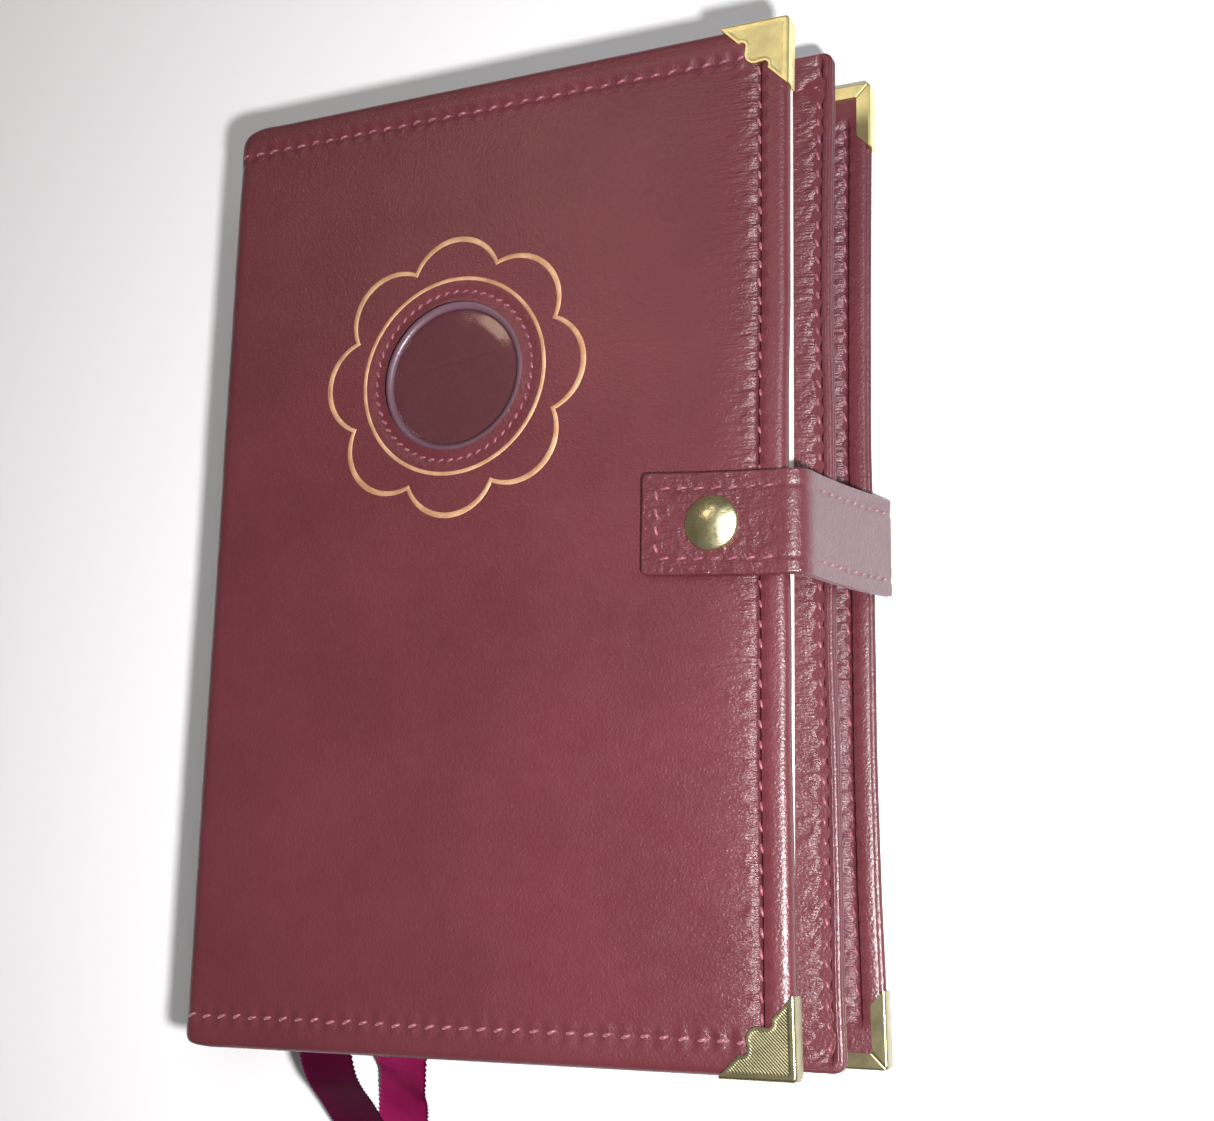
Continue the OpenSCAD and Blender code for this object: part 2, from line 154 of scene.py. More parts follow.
def make_studio():
    """Pale floor, key light beside the camera, a soft side light and two small ones.

    The small ones are reflected by the window film and by the brass at the head.
    """
    reach = 6 / MM
    corners = ((-1, -1), (1, -1), (1, 1), (-1, 1))
    floor_points = [(x * reach, y * reach, -0.3) for x, y in corners]
    floor = mesh_object("floor", floor_points, [(0, 1, 2, 3)])
    floor.data.materials.append(plain_material("floor_white", (0.60, 0.61, 0.62), 0.8))
    key = CAMERA + RIGHT * 0.04 - UP * 0.035
    area_light("key", key, CENTRE, 0.022, 3.8, (1.0, 0.97, 0.97))
    area_light("side", (0.42, 0.16, 0.85), CENTRE, 0.45, 4.0, (0.92, 0.94, 1.0))
    window = Vector((WINDOW_X, WINDOW_Y, FRONT_TOP)) * MM
    bounce = (window - CAMERA).normalized()
    bounce.z = -bounce.z
    card = window + bounce * 0.5 + Vector((0.085, 0.085, 0))
    area_light("card", card, window, 0.10, 0.18, (1.0, 0.75, 0.55))
    head_corner = Vector((FRONT_X - 6, HALF_H - 6, FRONT_TOP)) * MM
    above_head = head_corner + Vector((-0.22, 0.38, 0.66))
    area_light("head", above_head, head_corner, 0.16, 0.15, (1.0, 0.95, 0.85))
    world = bpy.data.worlds.new("world")
    world.use_nodes = True
    sky = world.node_tree.nodes["Background"]
    sky.inputs["Color"].default_value = (1.0, 0.90, 0.80, 1)
    sky.inputs["Strength"].default_value = 0.16
    bpy.context.scene.world = world
    bpy.context.scene.view_settings.view_transform = "Standard"


# ---------------------------------------------------------------- mesh tools


def mesh_object(name, points_mm, faces, smooth=True, sharp=None):
    """A mesh object from points in millimetres; sharp is the angle from which an edge looks sharp."""
    mesh = bpy.data.meshes.new(name)
    points = np.asarray(points_mm, float) * MM
    mesh.from_pydata(points.tolist(), [], [tuple(int(i) for i in f) for f in faces])
    mesh.validate()
    if smooth:
        mesh.polygons.foreach_set("use_smooth", [True] * len(mesh.polygons))
    if sharp:
        mesh.set_sharp_from_angle(angle=math.radians(sharp))
    mesh.update()
    obj = bpy.data.objects.new(name, mesh)
    bpy.context.scene.collection.objects.link(obj)
    return obj


def dress_piece(obj, look, *nodes):
    """Material and the CAD nodes that a piece stands for."""
    obj.data.materials.append(MATERIALS[look])
    if nodes:
        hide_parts(*nodes)


def finish_piece(obj, look, body, *nodes):
    """A dressed piece that moves with one body."""
    dress_piece(obj, look, *nodes)
    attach(obj, body)


def mark(obj, name, values):
    """Stores a number for each vertex that the leather material reads: crease, or the amount of painted sheen
    (a paler colour standing in for light).
    """
    numbers = obj.data.attributes.new(name, "FLOAT", "POINT")
    numbers.data.foreach_set("value", np.asarray(values, float).reshape(-1).tolist())


def grid_faces(rows, columns, first=0, flip=False, wrap=False):
    """Quads of a rows by columns grid of points, numbered row by row."""
    row = np.arange(rows - 1)[:, None]
    column = np.arange(columns if wrap else columns - 1)[None, :]
    a = first + row * columns + column
    b = first + row * columns + (column + 1) % columns
    quads = np.stack([a, b, b + columns, a + columns], axis=-1).reshape(-1, 4)
    return quads[:, ::-1] if flip else quads


def rim_faces(rows, columns, flip):
    """Quads that close the rim between a grid and a second grid that follows it."""
    second = rows * columns
    loop = (
        [(0, c) for c in range(columns)]
        + [(r, columns - 1) for r in range(1, rows)]
        + [(rows - 1, c) for c in range(columns - 2, -1, -1)]
        + [(r, 0) for r in range(rows - 2, 0, -1)]
    )
    ids = [r * columns + c for r, c in loop]
    faces = []
    for a, b in zip(ids, ids[1:] + ids[:1], strict=True):
        quad = [a, b, b + second, a + second]
        faces.append(quad if flip else quad[::-1])
    return faces


def slab(first, second, flip):
    """Points and faces of a closed sheet between two grids of points."""
    rows, columns = first.shape[:2]
    faces = np.vstack(
        [grid_faces(rows, columns, 0, not flip), grid_faces(rows, columns, rows * columns, flip)]
    ).tolist()
    faces += rim_faces(rows, columns, flip)
    return np.vstack([first.reshape(-1, 3), second.reshape(-1, 3)]), faces


def value_noise(x, y, seed):
    """Smooth noise from -1 to 1 with one lattice step per unit."""
    table = np.random.default_rng(seed).uniform(-1, 1, (256, 256))
    x, y = np.broadcast_arrays(np.asarray(x, float), np.asarray(y, float))
    xi, yi = np.floor(x).astype(int), np.floor(y).astype(int)
    fx, fy = x - xi, y - yi
    fx, fy = fx * fx * (3 - 2 * fx), fy * fy * (3 - 2 * fy)
    x0, x1, y0, y1 = xi & 255, (xi + 1) & 255, yi & 255, (yi + 1) & 255
    low = table[x0, y0] * (1 - fx) + table[x1, y0] * fx
    high = table[x0, y1] * (1 - fx) + table[x1, y1] * fx
    return low * (1 - fy) + high * fy


def crests(x, y, seed):
    """Noise with sharp crests and wide troughs, from -0.45 to 0.55."""
    return (1 - np.abs(value_noise(x, y, seed))) ** 2 - 0.45


def hill(distance, width):
    """1 at distance 0, falling to nothing on both sides."""
    return np.exp(-((distance / width) ** 2))


def edge_steps(length, roll, fine, reach, coarse):
    """Distances from 0 to length: dense where the edges roll over and where the leather puckers."""
    rolled = [roll * (1 - math.cos(a)) for a in np.linspace(0, math.pi / 2, 7)]
    near = np.arange(roll + fine, reach, fine)
    one_end = np.concatenate([rolled, near])
    middle_room = length - 2 * one_end[-1]
    count = max(2, int(middle_room / coarse))
    middle = one_end[-1] + middle_room * np.arange(1, count) / count
    return np.concatenate([one_end, middle, length - one_end[::-1]])


def half_round(depth, radius):
    """Drop of a rolled edge at a distance in from its rim."""
    inside = np.clip(depth / radius, 0, 1)
    return radius * (1 - np.sqrt(np.clip(1 - (1 - inside) ** 2, 0, 1)))


def rounded_corner(x, y, edge_x, half_y, radius):
    """Moves grid points in two square fore-edge corners onto rounded ones; also gives depth from the rim."""
    u = np.clip((x - (edge_x - radius)) / radius, 0, 1)
    v = np.clip((np.abs(y) - (half_y - radius)) / radius, 0, 1)
    both = (u > 0) & (v > 0)
    new_u = np.where(both, u * np.sqrt(1 - v * v / 2), u)
    new_v = np.where(both, v * np.sqrt(1 - u * u / 2), v)
    new_x = np.where(u > 0, edge_x - radius + radius * new_u, x)
    new_y = np.where(v > 0, np.sign(y) * (half_y - radius + radius * new_v), y)
    straight = np.minimum(edge_x - x, half_y - np.abs(y))
    depth = np.where(both, radius * (1 - np.hypot(new_u, new_v)), straight)
    return new_x, new_y, np.clip(depth, 0, None)


def tube(points, radius, sides=8):
    """Points and faces of a closed tube along a line of points."""
    points = np.asarray(points, float)
    ahead = np.gradient(points, axis=0)
    ahead /= np.linalg.norm(ahead, axis=1)[:, None]
    side = np.cross(ahead, (0, 0, 1))
    side /= np.maximum(np.linalg.norm(side, axis=1)[:, None], 1e-9)
    up = np.cross(side, ahead)
    angle = np.arange(sides) * 2 * math.pi / sides
    radius = np.broadcast_to(radius, len(points))[:, None, None]
    ring = (
        points[:, None]
        + side[:, None] * np.cos(angle)[None, :, None] * radius
        + up[:, None] * np.sin(angle)[None, :, None] * radius
    )
    faces = [list(f) for f in grid_faces(len(points), sides, wrap=True)]
    faces.append(list(range(sides))[::-1])
    faces.append([(len(points) - 1) * sides + i for i in range(sides)])
    return ring.reshape(-1, 3), faces


def stitch_thread(path, t, radius):
    """A short thread along a path of points, thinner towards its ends; t runs from -1 to 1."""
    return tube(path, radius * np.sqrt(np.clip(1.08 - t * t, 0.1, 1)))


def joined(parts):
    """Several (points, faces) as one."""
    points, faces, first = [], [], 0
    for p, f in parts:
        points.append(np.asarray(p, float))
        faces.extend([[int(i) + first for i in face] for face in f])
        first += len(p)
    return np.vstack(points), faces


def lathe(profile, centre, steps=72, closed=False):
    """Points and faces of a profile of (radius, height) turned round a vertical line.

    A closed profile joins its last point to its first; an open one gets a lid at each end.
    """
    profile = np.asarray(profile + profile[:1] if closed else profile, float)
    angle = np.arange(steps) * 2 * math.pi / steps
    x = centre[0] + profile[:, 0, None] * np.cos(angle)
    y = centre[1] + profile[:, 0, None] * np.sin(angle)
    z = np.broadcast_to(centre[2] + profile[:, 1, None], x.shape)
    points = np.stack([x, y, z], -1).reshape(-1, 3)
    faces = grid_faces(len(profile), steps, wrap=True).tolist()
    if closed:
        last = (len(profile) - 1) * steps
        points = points[:last]
        faces = [[i - last if i >= last else i for i in face] for face in faces]
    else:
        faces.append(list(range(steps))[::-1])
        faces.append([(len(profile) - 1) * steps + i for i in range(steps)])
    return points, faces


# ---------------------------------------------------------------- materials


def node_material(name):
    material = bpy.data.materials.new(name)
    material.use_nodes = True
    tree = material.node_tree
    return material, tree, tree.nodes["Principled BSDF"]


def plain_material(name, colour, roughness):
    material, _, shader = node_material(name)
    shader.inputs["Base Color"].default_value = (*colour, 1)
    shader.inputs["Roughness"].default_value = roughness
    return material


def coordinates(tree, stretch=(1, 1, 1), turn=0.0):
    """Object coordinates, stretched and turned about the vertical."""
    place = tree.nodes.new("ShaderNodeTexCoord")
    mapping = tree.nodes.new("ShaderNodeMapping")
    mapping.inputs["Scale"].default_value = stretch
    mapping.inputs["Rotation"].default_value = (0, 0, turn)
    tree.links.new(place.outputs["Object"], mapping.inputs["Vector"])
    return mapping.outputs["Vector"]


def noise(tree, vector, scale, detail=3.0, roughness=0.55):
    node = tree.nodes.new("ShaderNodeTexNoise")
    node.inputs["Scale"].default_value = scale
    node.inputs["Detail"].default_value = detail
    node.inputs["Roughness"].default_value = roughness
    tree.links.new(vector, node.inputs["Vector"])
    return node.outputs["Fac"]


def ramp(tree, value, stops):
    """Colour ramp of (position, colour)."""
    node = tree.nodes.new("ShaderNodeValToRGB")
    elements = node.color_ramp.elements
    while len(elements) < len(stops):
        elements.new(0.5)
    for element, (position, colour) in zip(elements, stops, strict=True):
        element.position = position
        element.color = (*colour, 1)
    tree.links.new(value, node.inputs["Fac"])
    return node.outputs["Color"]


def tint(tree, shader, value, dark, light, low=0.3, high=0.7):
    """Base colour that goes from dark to light as the value rises from low to high."""
    tree.links.new(ramp(tree, value, [(low, dark), (high, light)]), shader.inputs["Base Color"])


def to_range(tree, value, low, high):
    node = tree.nodes.new("ShaderNodeMapRange")
    node.inputs["To Min"].default_value = low
    node.inputs["To Max"].default_value = high
    tree.links.new(value, node.inputs["Value"])
    return node.outputs["Result"]


def times(tree, a, b):
    node = tree.nodes.new("ShaderNodeMath")
    node.operation = "MULTIPLY"
    tree.links.new(a, node.inputs[0])
    tree.links.new(b, node.inputs[1])
    return node.outputs[0]


def bump(tree, shader, heights):
    """Stacks (height, strength, distance) into the shader's normal."""
    before = None
    for height, strength, distance in heights:
        node = tree.nodes.new("ShaderNodeBump")
        node.inputs["Strength"].default_value = strength
        node.inputs["Distance"].default_value = distance
        tree.links.new(height, node.inputs["Height"])
        if before:
            tree.links.new(before, node.inputs["Normal"])
        before = node.outputs["Normal"]
    tree.links.new(before, shader.inputs["Normal"])


def attribute(tree, name):
    node = tree.nodes.new("ShaderNodeAttribute")
    node.attribute_name = name
    return node.outputs["Fac"]


def leather_material(name, dark, light, gloss=(0.27, 0.42), grain=1.0, painted_sheen=None):
    """Soft leather: mottled colour, pebbled grain, uneven gloss, fine creases beside the stitches.

    The colour turns to a paler one where the mesh says so: painted sheen, light painted into the colour.
    """
    material, tree, shader = node_material(name)
    vector = coordinates(tree)
    clouds = noise(tree, vector, 30, 5)
    colour = ramp(tree, clouds, [(0.3, dark), (0.7, light)])
    if painted_sheen:
        mix = tree.nodes.new("ShaderNodeMixRGB")
        mix.inputs["Color2"].default_value = (*painted_sheen, 1)
        tree.links.new(attribute(tree, "painted_sheen"), mix.inputs["Fac"])
        tree.links.new(colour, mix.inputs["Color1"])
        colour = mix.outputs["Color"]
    tree.links.new(colour, shader.inputs["Base Color"])
    patches = noise(tree, vector, 240, 3)
    tree.links.new(to_range(tree, patches, *gloss), shader.inputs["Roughness"])
    cells = tree.nodes.new("ShaderNodeTexVoronoi")
    cells.feature = "DISTANCE_TO_EDGE"
    cells.inputs["Scale"].default_value = 1100
    tree.links.new(vector, cells.inputs["Vector"])
    creases = noise(tree, coordinates(tree, (190, 1000, 190), 0.3), 1.0, 4, 0.62)
    bump(
        tree,
        shader,
        [
            (cells.outputs["Distance"], 0.4 * grain, 0.00025),
            (noise(tree, vector, 900, 4, 0.65), 0.4 * grain, 0.0003),
            (times(tree, creases, attribute(tree, "crease")), 0.7, 0.0014),
        ],
    )
    return material


def cloth_material(name, dark, light, pitch):
    """Plain weave: two crossed waves."""
    material, tree, shader = node_material(name)
    vector = coordinates(tree)
    waves = []
    for direction in ("X", "Y"):
        wave = tree.nodes.new("ShaderNodeTexWave")
        wave.bands_direction = direction
        wave.inputs["Scale"].default_value = 1 / pitch
        wave.inputs["Distortion"].default_value = 0.4
        tree.links.new(vector, wave.inputs["Vector"])
        waves.append(wave.outputs["Fac"])
    weave = times(tree, waves[0], waves[1])
    tint(tree, shader, weave, dark, light, 0, 1)
    shader.inputs["Roughness"].default_value = 0.8
    bump(tree, shader, [(weave, 0.4, 0.0002)])
    return material


def satin_material(name, dark, light):
    """Satin ribbon: fine ribs across it and a soft sheen."""
    material, tree, shader = node_material(name)
    ribs = noise(tree, coordinates(tree, (900, 3000, 900)), 1.0, 2)
    patches = noise(tree, coordinates(tree), 70, 2)
    tint(tree, shader, patches, dark, light)
    shader.inputs["Roughness"].default_value = 0.5
    shader.inputs["IOR"].default_value = 1.08
    bump(tree, shader, [(ribs, 0.5, 0.00015)])
    return material


def thread_material(name, dark, light):
    """Twisted thread."""
    material, tree, shader = node_material(name)
    twist = noise(tree, coordinates(tree, (1, 1, 3)), 2400, 2)
    patches = noise(tree, coordinates(tree), 300, 2)
    tint(tree, shader, patches, dark, light)
    shader.inputs["Roughness"].default_value = 0.4
    shader.inputs["Sheen Weight"].default_value = 0.3
    bump(tree, shader, [(twist, 0.6, 0.00012)])
    return material


def metal_material(name, dark, light, roughness, wear, metallic=1.0):
    """Plated brass with fine scratches and a little tarnish."""
    material, tree, shader = node_material(name)
    tarnish = noise(tree, coordinates(tree), 220, 4)
    tint(tree, shader, tarnish, dark, light, 0.35, 0.65)
    shader.inputs["Metallic"].default_value = metallic
    scratches = noise(tree, coordinates(tree, (1, 6, 1)), 900, 3)
    tree.links.new(to_range(tree, scratches, roughness, roughness + wear), shader.inputs["Roughness"])
    bump(tree, shader, [(scratches, 0.15, 0.0001)])
    return material


def paper_material(name, dark, light, lines=False):
    """Paper or card fibres; lines gives the fine layers of a block of leaves."""
    material, tree, shader = node_material(name)
    stretch = (60, 60, 9000) if lines else (1500, 1500, 1500)
    fibres = noise(tree, coordinates(tree, stretch), 1.0, 3)
    tint(tree, shader, fibres, dark, light)
    shader.inputs["Roughness"].default_value = 0.85
    bump(tree, shader, [(fibres, 0.3, 0.00008)])
    return material


def film_material():
    """Clear vinyl: a thin dark tint, a glossy face and faint scratches."""
    material, tree, shader = node_material("clear_vinyl")
    vector = coordinates(tree)
    shader.inputs["Base Color"].default_value = (0.05, 0.02, 0.026, 1)
    shader.inputs["Alpha"].default_value = 0.2
    shader.inputs["IOR"].default_value = 2.0
    tree.links.new(to_range(tree, noise(tree, vector, 500, 3), 0.06, 0.16), shader.inputs["Roughness"])
    bump(tree, shader, [(noise(tree, vector, 120, 2), 0.12, 0.0004)])
    return material


def make_materials():
    """One material for each look."""
    return {
        "leather": leather_material("burgundy_leather", (0.064, 0.0124, 0.0170), (0.080, 0.0166, 0.0220)),
        "backing": leather_material(
            "backing_leather", (0.070, 0.010, 0.013), (0.088, 0.014, 0.018), gloss=(0.5, 0.6)
        ),
        "strap": leather_material(
            "strap_leather",
            (0.062, 0.0130, 0.0180),
            (0.080, 0.0175, 0.0240),
            gloss=(0.24, 0.42),
            grain=1.2,
            # paler colour for the strap band: painted sheen, standing in for the light the band catches at a
            # grazing angle
            painted_sheen=(0.100, 0.052, 0.062),
        ),
        "lining": cloth_material("lining_cloth", (0.05, 0.012, 0.016), (0.11, 0.028, 0.034), 0.004),
        "thread": thread_material("stitch_thread", (0.12, 0.017, 0.036), (0.23, 0.052, 0.085)),
        # One brass in two copies: the head corners' copy is brighter, a painted highlight, and the tail
        # corners' copy is darker, painted shade.
        "brass_painted_highlight": metal_material("brass_head_painted_highlight", (0.76, 0.67, 0.32), (0.94, 0.85, 0.42), 0.26, 0.14),
        "brass_painted_shade": metal_material("brass_tail_painted_shade", (0.23, 0.21, 0.12), (0.33, 0.30, 0.17), 0.26, 0.14),
        "snap": metal_material("snap_brass", (0.56, 0.50, 0.26), (0.74, 0.70, 0.44), 0.2, 0.16),
        "foil": metal_material("gold_foil", (0.36, 0.19, 0.10), (0.52, 0.31, 0.18), 0.45, 0.15, 0.5),
        "paper": paper_material("page_paper", (0.56, 0.55, 0.51), (0.70, 0.69, 0.65), True),
        "card": paper_material("cover_card", (0.30, 0.10, 0.11), (0.38, 0.14, 0.15)),
        "board": paper_material("stiffener_board", (0.22, 0.20, 0.16), (0.33, 0.30, 0.25)),
        # One satin in two copies: ribbon 1's is darker, painted shade, and ribbon 2's is brighter, a painted
        # highlight.
        "satin_painted_shade": satin_material("ribbon_wine", (0.030, 0.0012, 0.010), (0.045, 0.002, 0.016)),
        "satin_painted_highlight": satin_material("ribbon_magenta", (0.115, 0.004, 0.032), (0.17, 0.008, 0.055)),
        "film": film_material(),
        "bead": leather_material("vinyl_bead", (0.060, 0.028, 0.040), (0.090, 0.048, 0.065), (0.3, 0.4), 0.4),
    }


# ---------------------------------------------------------------- stitch lines and leather relief


class StitchLine:
    """An evenly spaced run of stitches; inboard is on the left of its direction."""

    def __init__(self, start, end, pitch=PITCH):
        self.start = np.array(start, float)
        run = np.array(end, float) - self.start
        self.length = float(np.linalg.norm(run))
        self.ahead = run / self.length
        self.inboard = np.array([-self.ahead[1], self.ahead[0]])
        self.count = max(1, round(self.length / pitch))
        self.pitch = self.length / self.count

    def measure(self, x, y):
        """Distance inboard of the line and distance along it."""
        dx, dy = x - self.start[0], y - self.start[1]
        across = dx * self.inboard[0] + dy * self.inboard[1]
        along = dx * self.ahead[0] + dy * self.ahead[1]
        return across, along

    def beside(self, along):
        """1 beside the run, fading to 0 past its two ends."""
        return np.clip((along + 2) / 3, 0, 1) * np.clip((self.length + 2 - along) / 3, 0, 1)

    def relief(self, x, y, seed, strength, reach):
        """Height of leather drawn down by the stitches and puckered beside them."""
        across, along = self.measure(x, y)
        hole = np.cos(2 * math.pi * along / self.pitch)
        groove = -(0.14 + 0.14 * hole) * hill(across, 0.75)
        gathered = -0.14 * hole * hill(np.abs(across) - 1.3, 0.9)
        sunk = np.where(across > 0, np.exp(-np.abs(across) / 2.8), hill(across, 1.7))
        roll = 0.22 * hill(across + 3.2, 1.9) - 0.48 * strength * sunk
        lean = along + 0.4 * across + 1.3 * value_noise(along / 9, across / 6, seed + 1)
        inside = np.exp(-np.clip(across - 1, 0, None) / reach) * (across >= 0)
        outside = 0.22 * np.exp(np.clip(across, None, 0) / 3.5) * (across < 0)
        fine = crests(lean, across / 4, seed + 2)
        broad = crests(lean / 2.6, across / 6, seed + 3)
        patchy = 0.7 + 0.6 * value_noise(along / 14, across / 30, seed + 4)
        wrinkles = patchy * (inside + outside) * (0.28 * fine + 0.16 * broad)
        return self.beside(along) * (groove + gathered + roll + strength * wrinkles)

    def creased(self, x, y, reach):
        """0 to 1: how much fine creasing there is inboard of the line."""
        across, along = self.measure(x, y)
        inboard = np.clip(across, 0, None)
        amount = 0.6 * np.exp(-inboard / reach) + 0.25 * np.exp(-inboard / (4 * reach))
        return self.beside(along) * amount * (across > -1)

    def stitches(self, height, seed, up=1, slant=16, radius=0.31):
        """Separate stitches, each a short bowed thread sunk into the leather at its ends."""
        rng = np.random.default_rng(seed)
        parts = []
        for i in range(self.count):
            middle = self.start + self.ahead * (i + 0.5) * self.pitch
            middle = middle + self.inboard * rng.normal(0, 0.08)
            lean = math.radians(slant + rng.normal(0, 4))
            along = self.ahead * math.cos(lean) + self.inboard * math.sin(lean)
            reach = self.pitch * rng.uniform(0.27, 0.31)
            t = np.linspace(-1, 1, STITCH_STEPS)
            xy = middle[None] + along[None] * (t[:, None] * reach)
            lift = 0.24 - 0.55 * np.abs(t) ** 2.5
            z = height(xy[:, 0], xy[:, 1]) + up * lift
            parts.append(stitch_thread(np.column_stack([xy, z]), t, radius))
        return parts


def panel_lines(edge_x, inset_x, inset_head, inset_tail, room_x, room_y, from_x=SPINE_X + 0.8):
    """Stitch lines along the head, fore-edge and tail of a panel.

    room_x and room_y are left free at the fore-edge end of the head and tail lines and at both ends
    of the fore-edge line.
    """
    right = edge_x - room_x
    fore = edge_x - inset_x
    head = HALF_H - inset_head
    tail = inset_tail - HALF_H
    return [
        StitchLine((right, head), (from_x, head)),
        StitchLine((fore, room_y - HALF_H), (fore, HALF_H - room_y)),
        StitchLine((from_x, tail), (right, tail)),
    ]


def sewn(lines, height, seed, **look):
    """The stitches of several lines."""
    parts = []
    for i, line in enumerate(lines):
        parts += line.stitches(height, seed + i, **look)
    return parts


def make_thread(name, parts, body, *nodes):
    """One piece of thread from separate stitches."""
    finish_piece(mesh_object(name, *joined(parts)), "thread", body, *nodes)


def lines_relief(lines, x, y, seed, strength=1.0):
    """Relief of a panel's three stitch lines; the fore-edge one puckers furthest in."""
    height = 0
    for i, line in enumerate(lines):
        reach, force = (3.6, strength) if i == 1 else (1.8, 0.6 * strength)
        height = height + line.relief(x, y, seed + 10 * i, force, reach)
    return height


def soft_waves(x, y, seed):
    """Slow unevenness of soft leather over a stiff board."""
    return 0.16 * value_noise(x / 38, y / 38, seed) + 0.05 * value_noise(x / 9, y / 9, seed + 7)


def edge_bow(y, x, edge_x, amount, seed):
    """Soft leather edges are slightly hollow and uneven; grows towards the fore-edge."""
    near = np.clip((x - SPINE_X - 60) / (edge_x - SPINE_X - 60), 0, 1) ** 2
    bow = -amount * (1 - (y / HALF_H) ** 2) + 0.22 * value_noise(y / 24, 0, seed)
    return near * bow


def turned_in(x, y):
    """The leather is turned in at the spine's two ends, more at the head than at the tail."""
    near = np.clip(1 - (x - SPINE_X) / 9, 0, 1) ** 2
    dip = np.where(y > 0, 3.4, 1.4) * near
    return y * (1 - dip / HALF_H)


def spine_bulge(level):
    """The spine swells a little between the table and the front panel."""
    return 1.1 * np.sin(np.clip(level / FRONT_TOP, 0, 1) * math.pi)


class Skin:
    """A leather skin that covers a panel and turns round the spine.

    top is the level of the outer face, up is 1 for a face that looks up and -1 for one that looks
    down, and wall_to is the level at which the spine part of the skin ends.
    """

    round_r = 4.0
    roll = 2.0

    def __init__(self, edge_x, top, up, wall_to, bow, seed, lines):
        self.edge_x, self.top, self.up = edge_x, top, up
        self.bow, self.seed, self.lines = bow, seed, lines
        self.wall = abs(top - wall_to) - self.round_r
        self.turn = self.round_r * math.pi / 2
        self.flat = edge_x - (SPINE_X + self.round_r)

    def place(self, run):
        """Point (x, level) and outward normal at a distance along the skin from its spine end."""
        r = self.round_r
        angle = np.clip((run - self.wall) / r, 0, math.pi / 2)
        beyond = np.clip(run - self.wall - self.turn, 0, None)
        below = np.clip(self.wall - run, 0, None)
        x = SPINE_X + r * (1 - np.cos(angle)) + beyond
        level = self.top - self.up * (r * (1 - np.sin(angle)) + below)
        x = x - spine_bulge(level) * (1 - np.sin(angle))
        return x, level, -np.cos(angle), self.up * np.sin(angle)

    def relief(self, x, y, run):
        """Height of the outer face over the smooth skin."""
        flatness = np.clip((run - self.wall) / self.turn, 0, 1)
        spine = 0.10 * value_noise(y / 5, run / 4, self.seed + 50)
        spine = spine + 0.10 * value_noise(y / 16, run / 6, self.seed + 51)
        panel = soft_waves(x, y, self.seed) + lines_relief(self.lines, x, y, self.seed)
        return panel * flatness + spine * (1 - flatness)

    def grid(self, total):
        """Distances along and across the skin at which its points lie."""
        fine = 0.36
        steps = edge_steps(2 * self.flat, self.roll, fine, 24, 1.0)
        from_fore = steps[steps < self.flat - 0.5]
        runs = np.concatenate([np.linspace(0, total - self.flat, 16), total - from_fore[::-1]])
        ys = edge_steps(2 * HALF_H, self.roll, fine, 16, 0.6) - HALF_H
        return np.meshgrid(runs, ys, indexing="ij")

    def mesh(self, name):
        """The skin as an object that tells its material where it is creased."""
        total = self.wall + self.turn + self.flat
        run, y = self.grid(total)
        base_x, level, normal_x, normal_z = self.place(run)
        x, y, depth = rounded_corner(base_x, y, self.edge_x, HALF_H, CORNER)
        depth = np.where(run < total - self.flat + 1, HALF_H - np.abs(y), depth)
        flatness = np.clip((run - self.wall - self.turn * 0.6) / (self.turn + 6), 0, 1)
        thick = SKIN + (SKIN_EDGE - SKIN - 0.5 * np.clip((depth - 3) / 2, 0, 1)) * flatness
        roll = np.minimum(self.roll, thick * self.roll / SKIN_EDGE)
        drop = half_round(depth, self.roll) * roll / self.roll
        fade = np.clip(depth / 2.2, 0, 1)
        raised = self.relief(x, y, run) * fade
        if self.up < 0:
            raised = np.minimum(raised - 0.1, 0)
        inner_roll = thick - roll
        inward = -thick + half_round(depth, SKIN_EDGE - self.roll) * inner_roll / (SKIN_EDGE - self.roll)
        shift = edge_bow(y, x, self.edge_x, self.bow, self.seed)
        creases = self.lines[1].creased(x, y, 5.0) * flatness
        y = turned_in(x, y)
        outer = np.stack([x + shift + normal_x * (raised - drop), y, level + normal_z * (raised - drop)], -1)
        inner = np.stack([x + shift + normal_x * inward, y, level + normal_z * inward], -1)
        points, faces = slab(outer, inner, self.up > 0)
        skin = mesh_object(name, points, faces)
        mark(skin, "crease", [creases, creases * 0])
        return skin

    def height_at(self, x, y):
        """Level of the outer face over a point."""
        x, y = np.asarray(x, float), np.asarray(y, float)
        short = np.clip(self.round_r - (x - SPINE_X), 0, self.round_r)
        drop = self.round_r - np.sqrt(self.round_r**2 - short**2)
        angle = np.arcsin(np.clip(1 - drop / self.round_r, 0, 1))
        run = self.wall + self.round_r * angle + np.clip(x - SPINE_X - self.round_r, 0, None)
        return self.top + self.up * (self.relief(x, y, run) - drop)


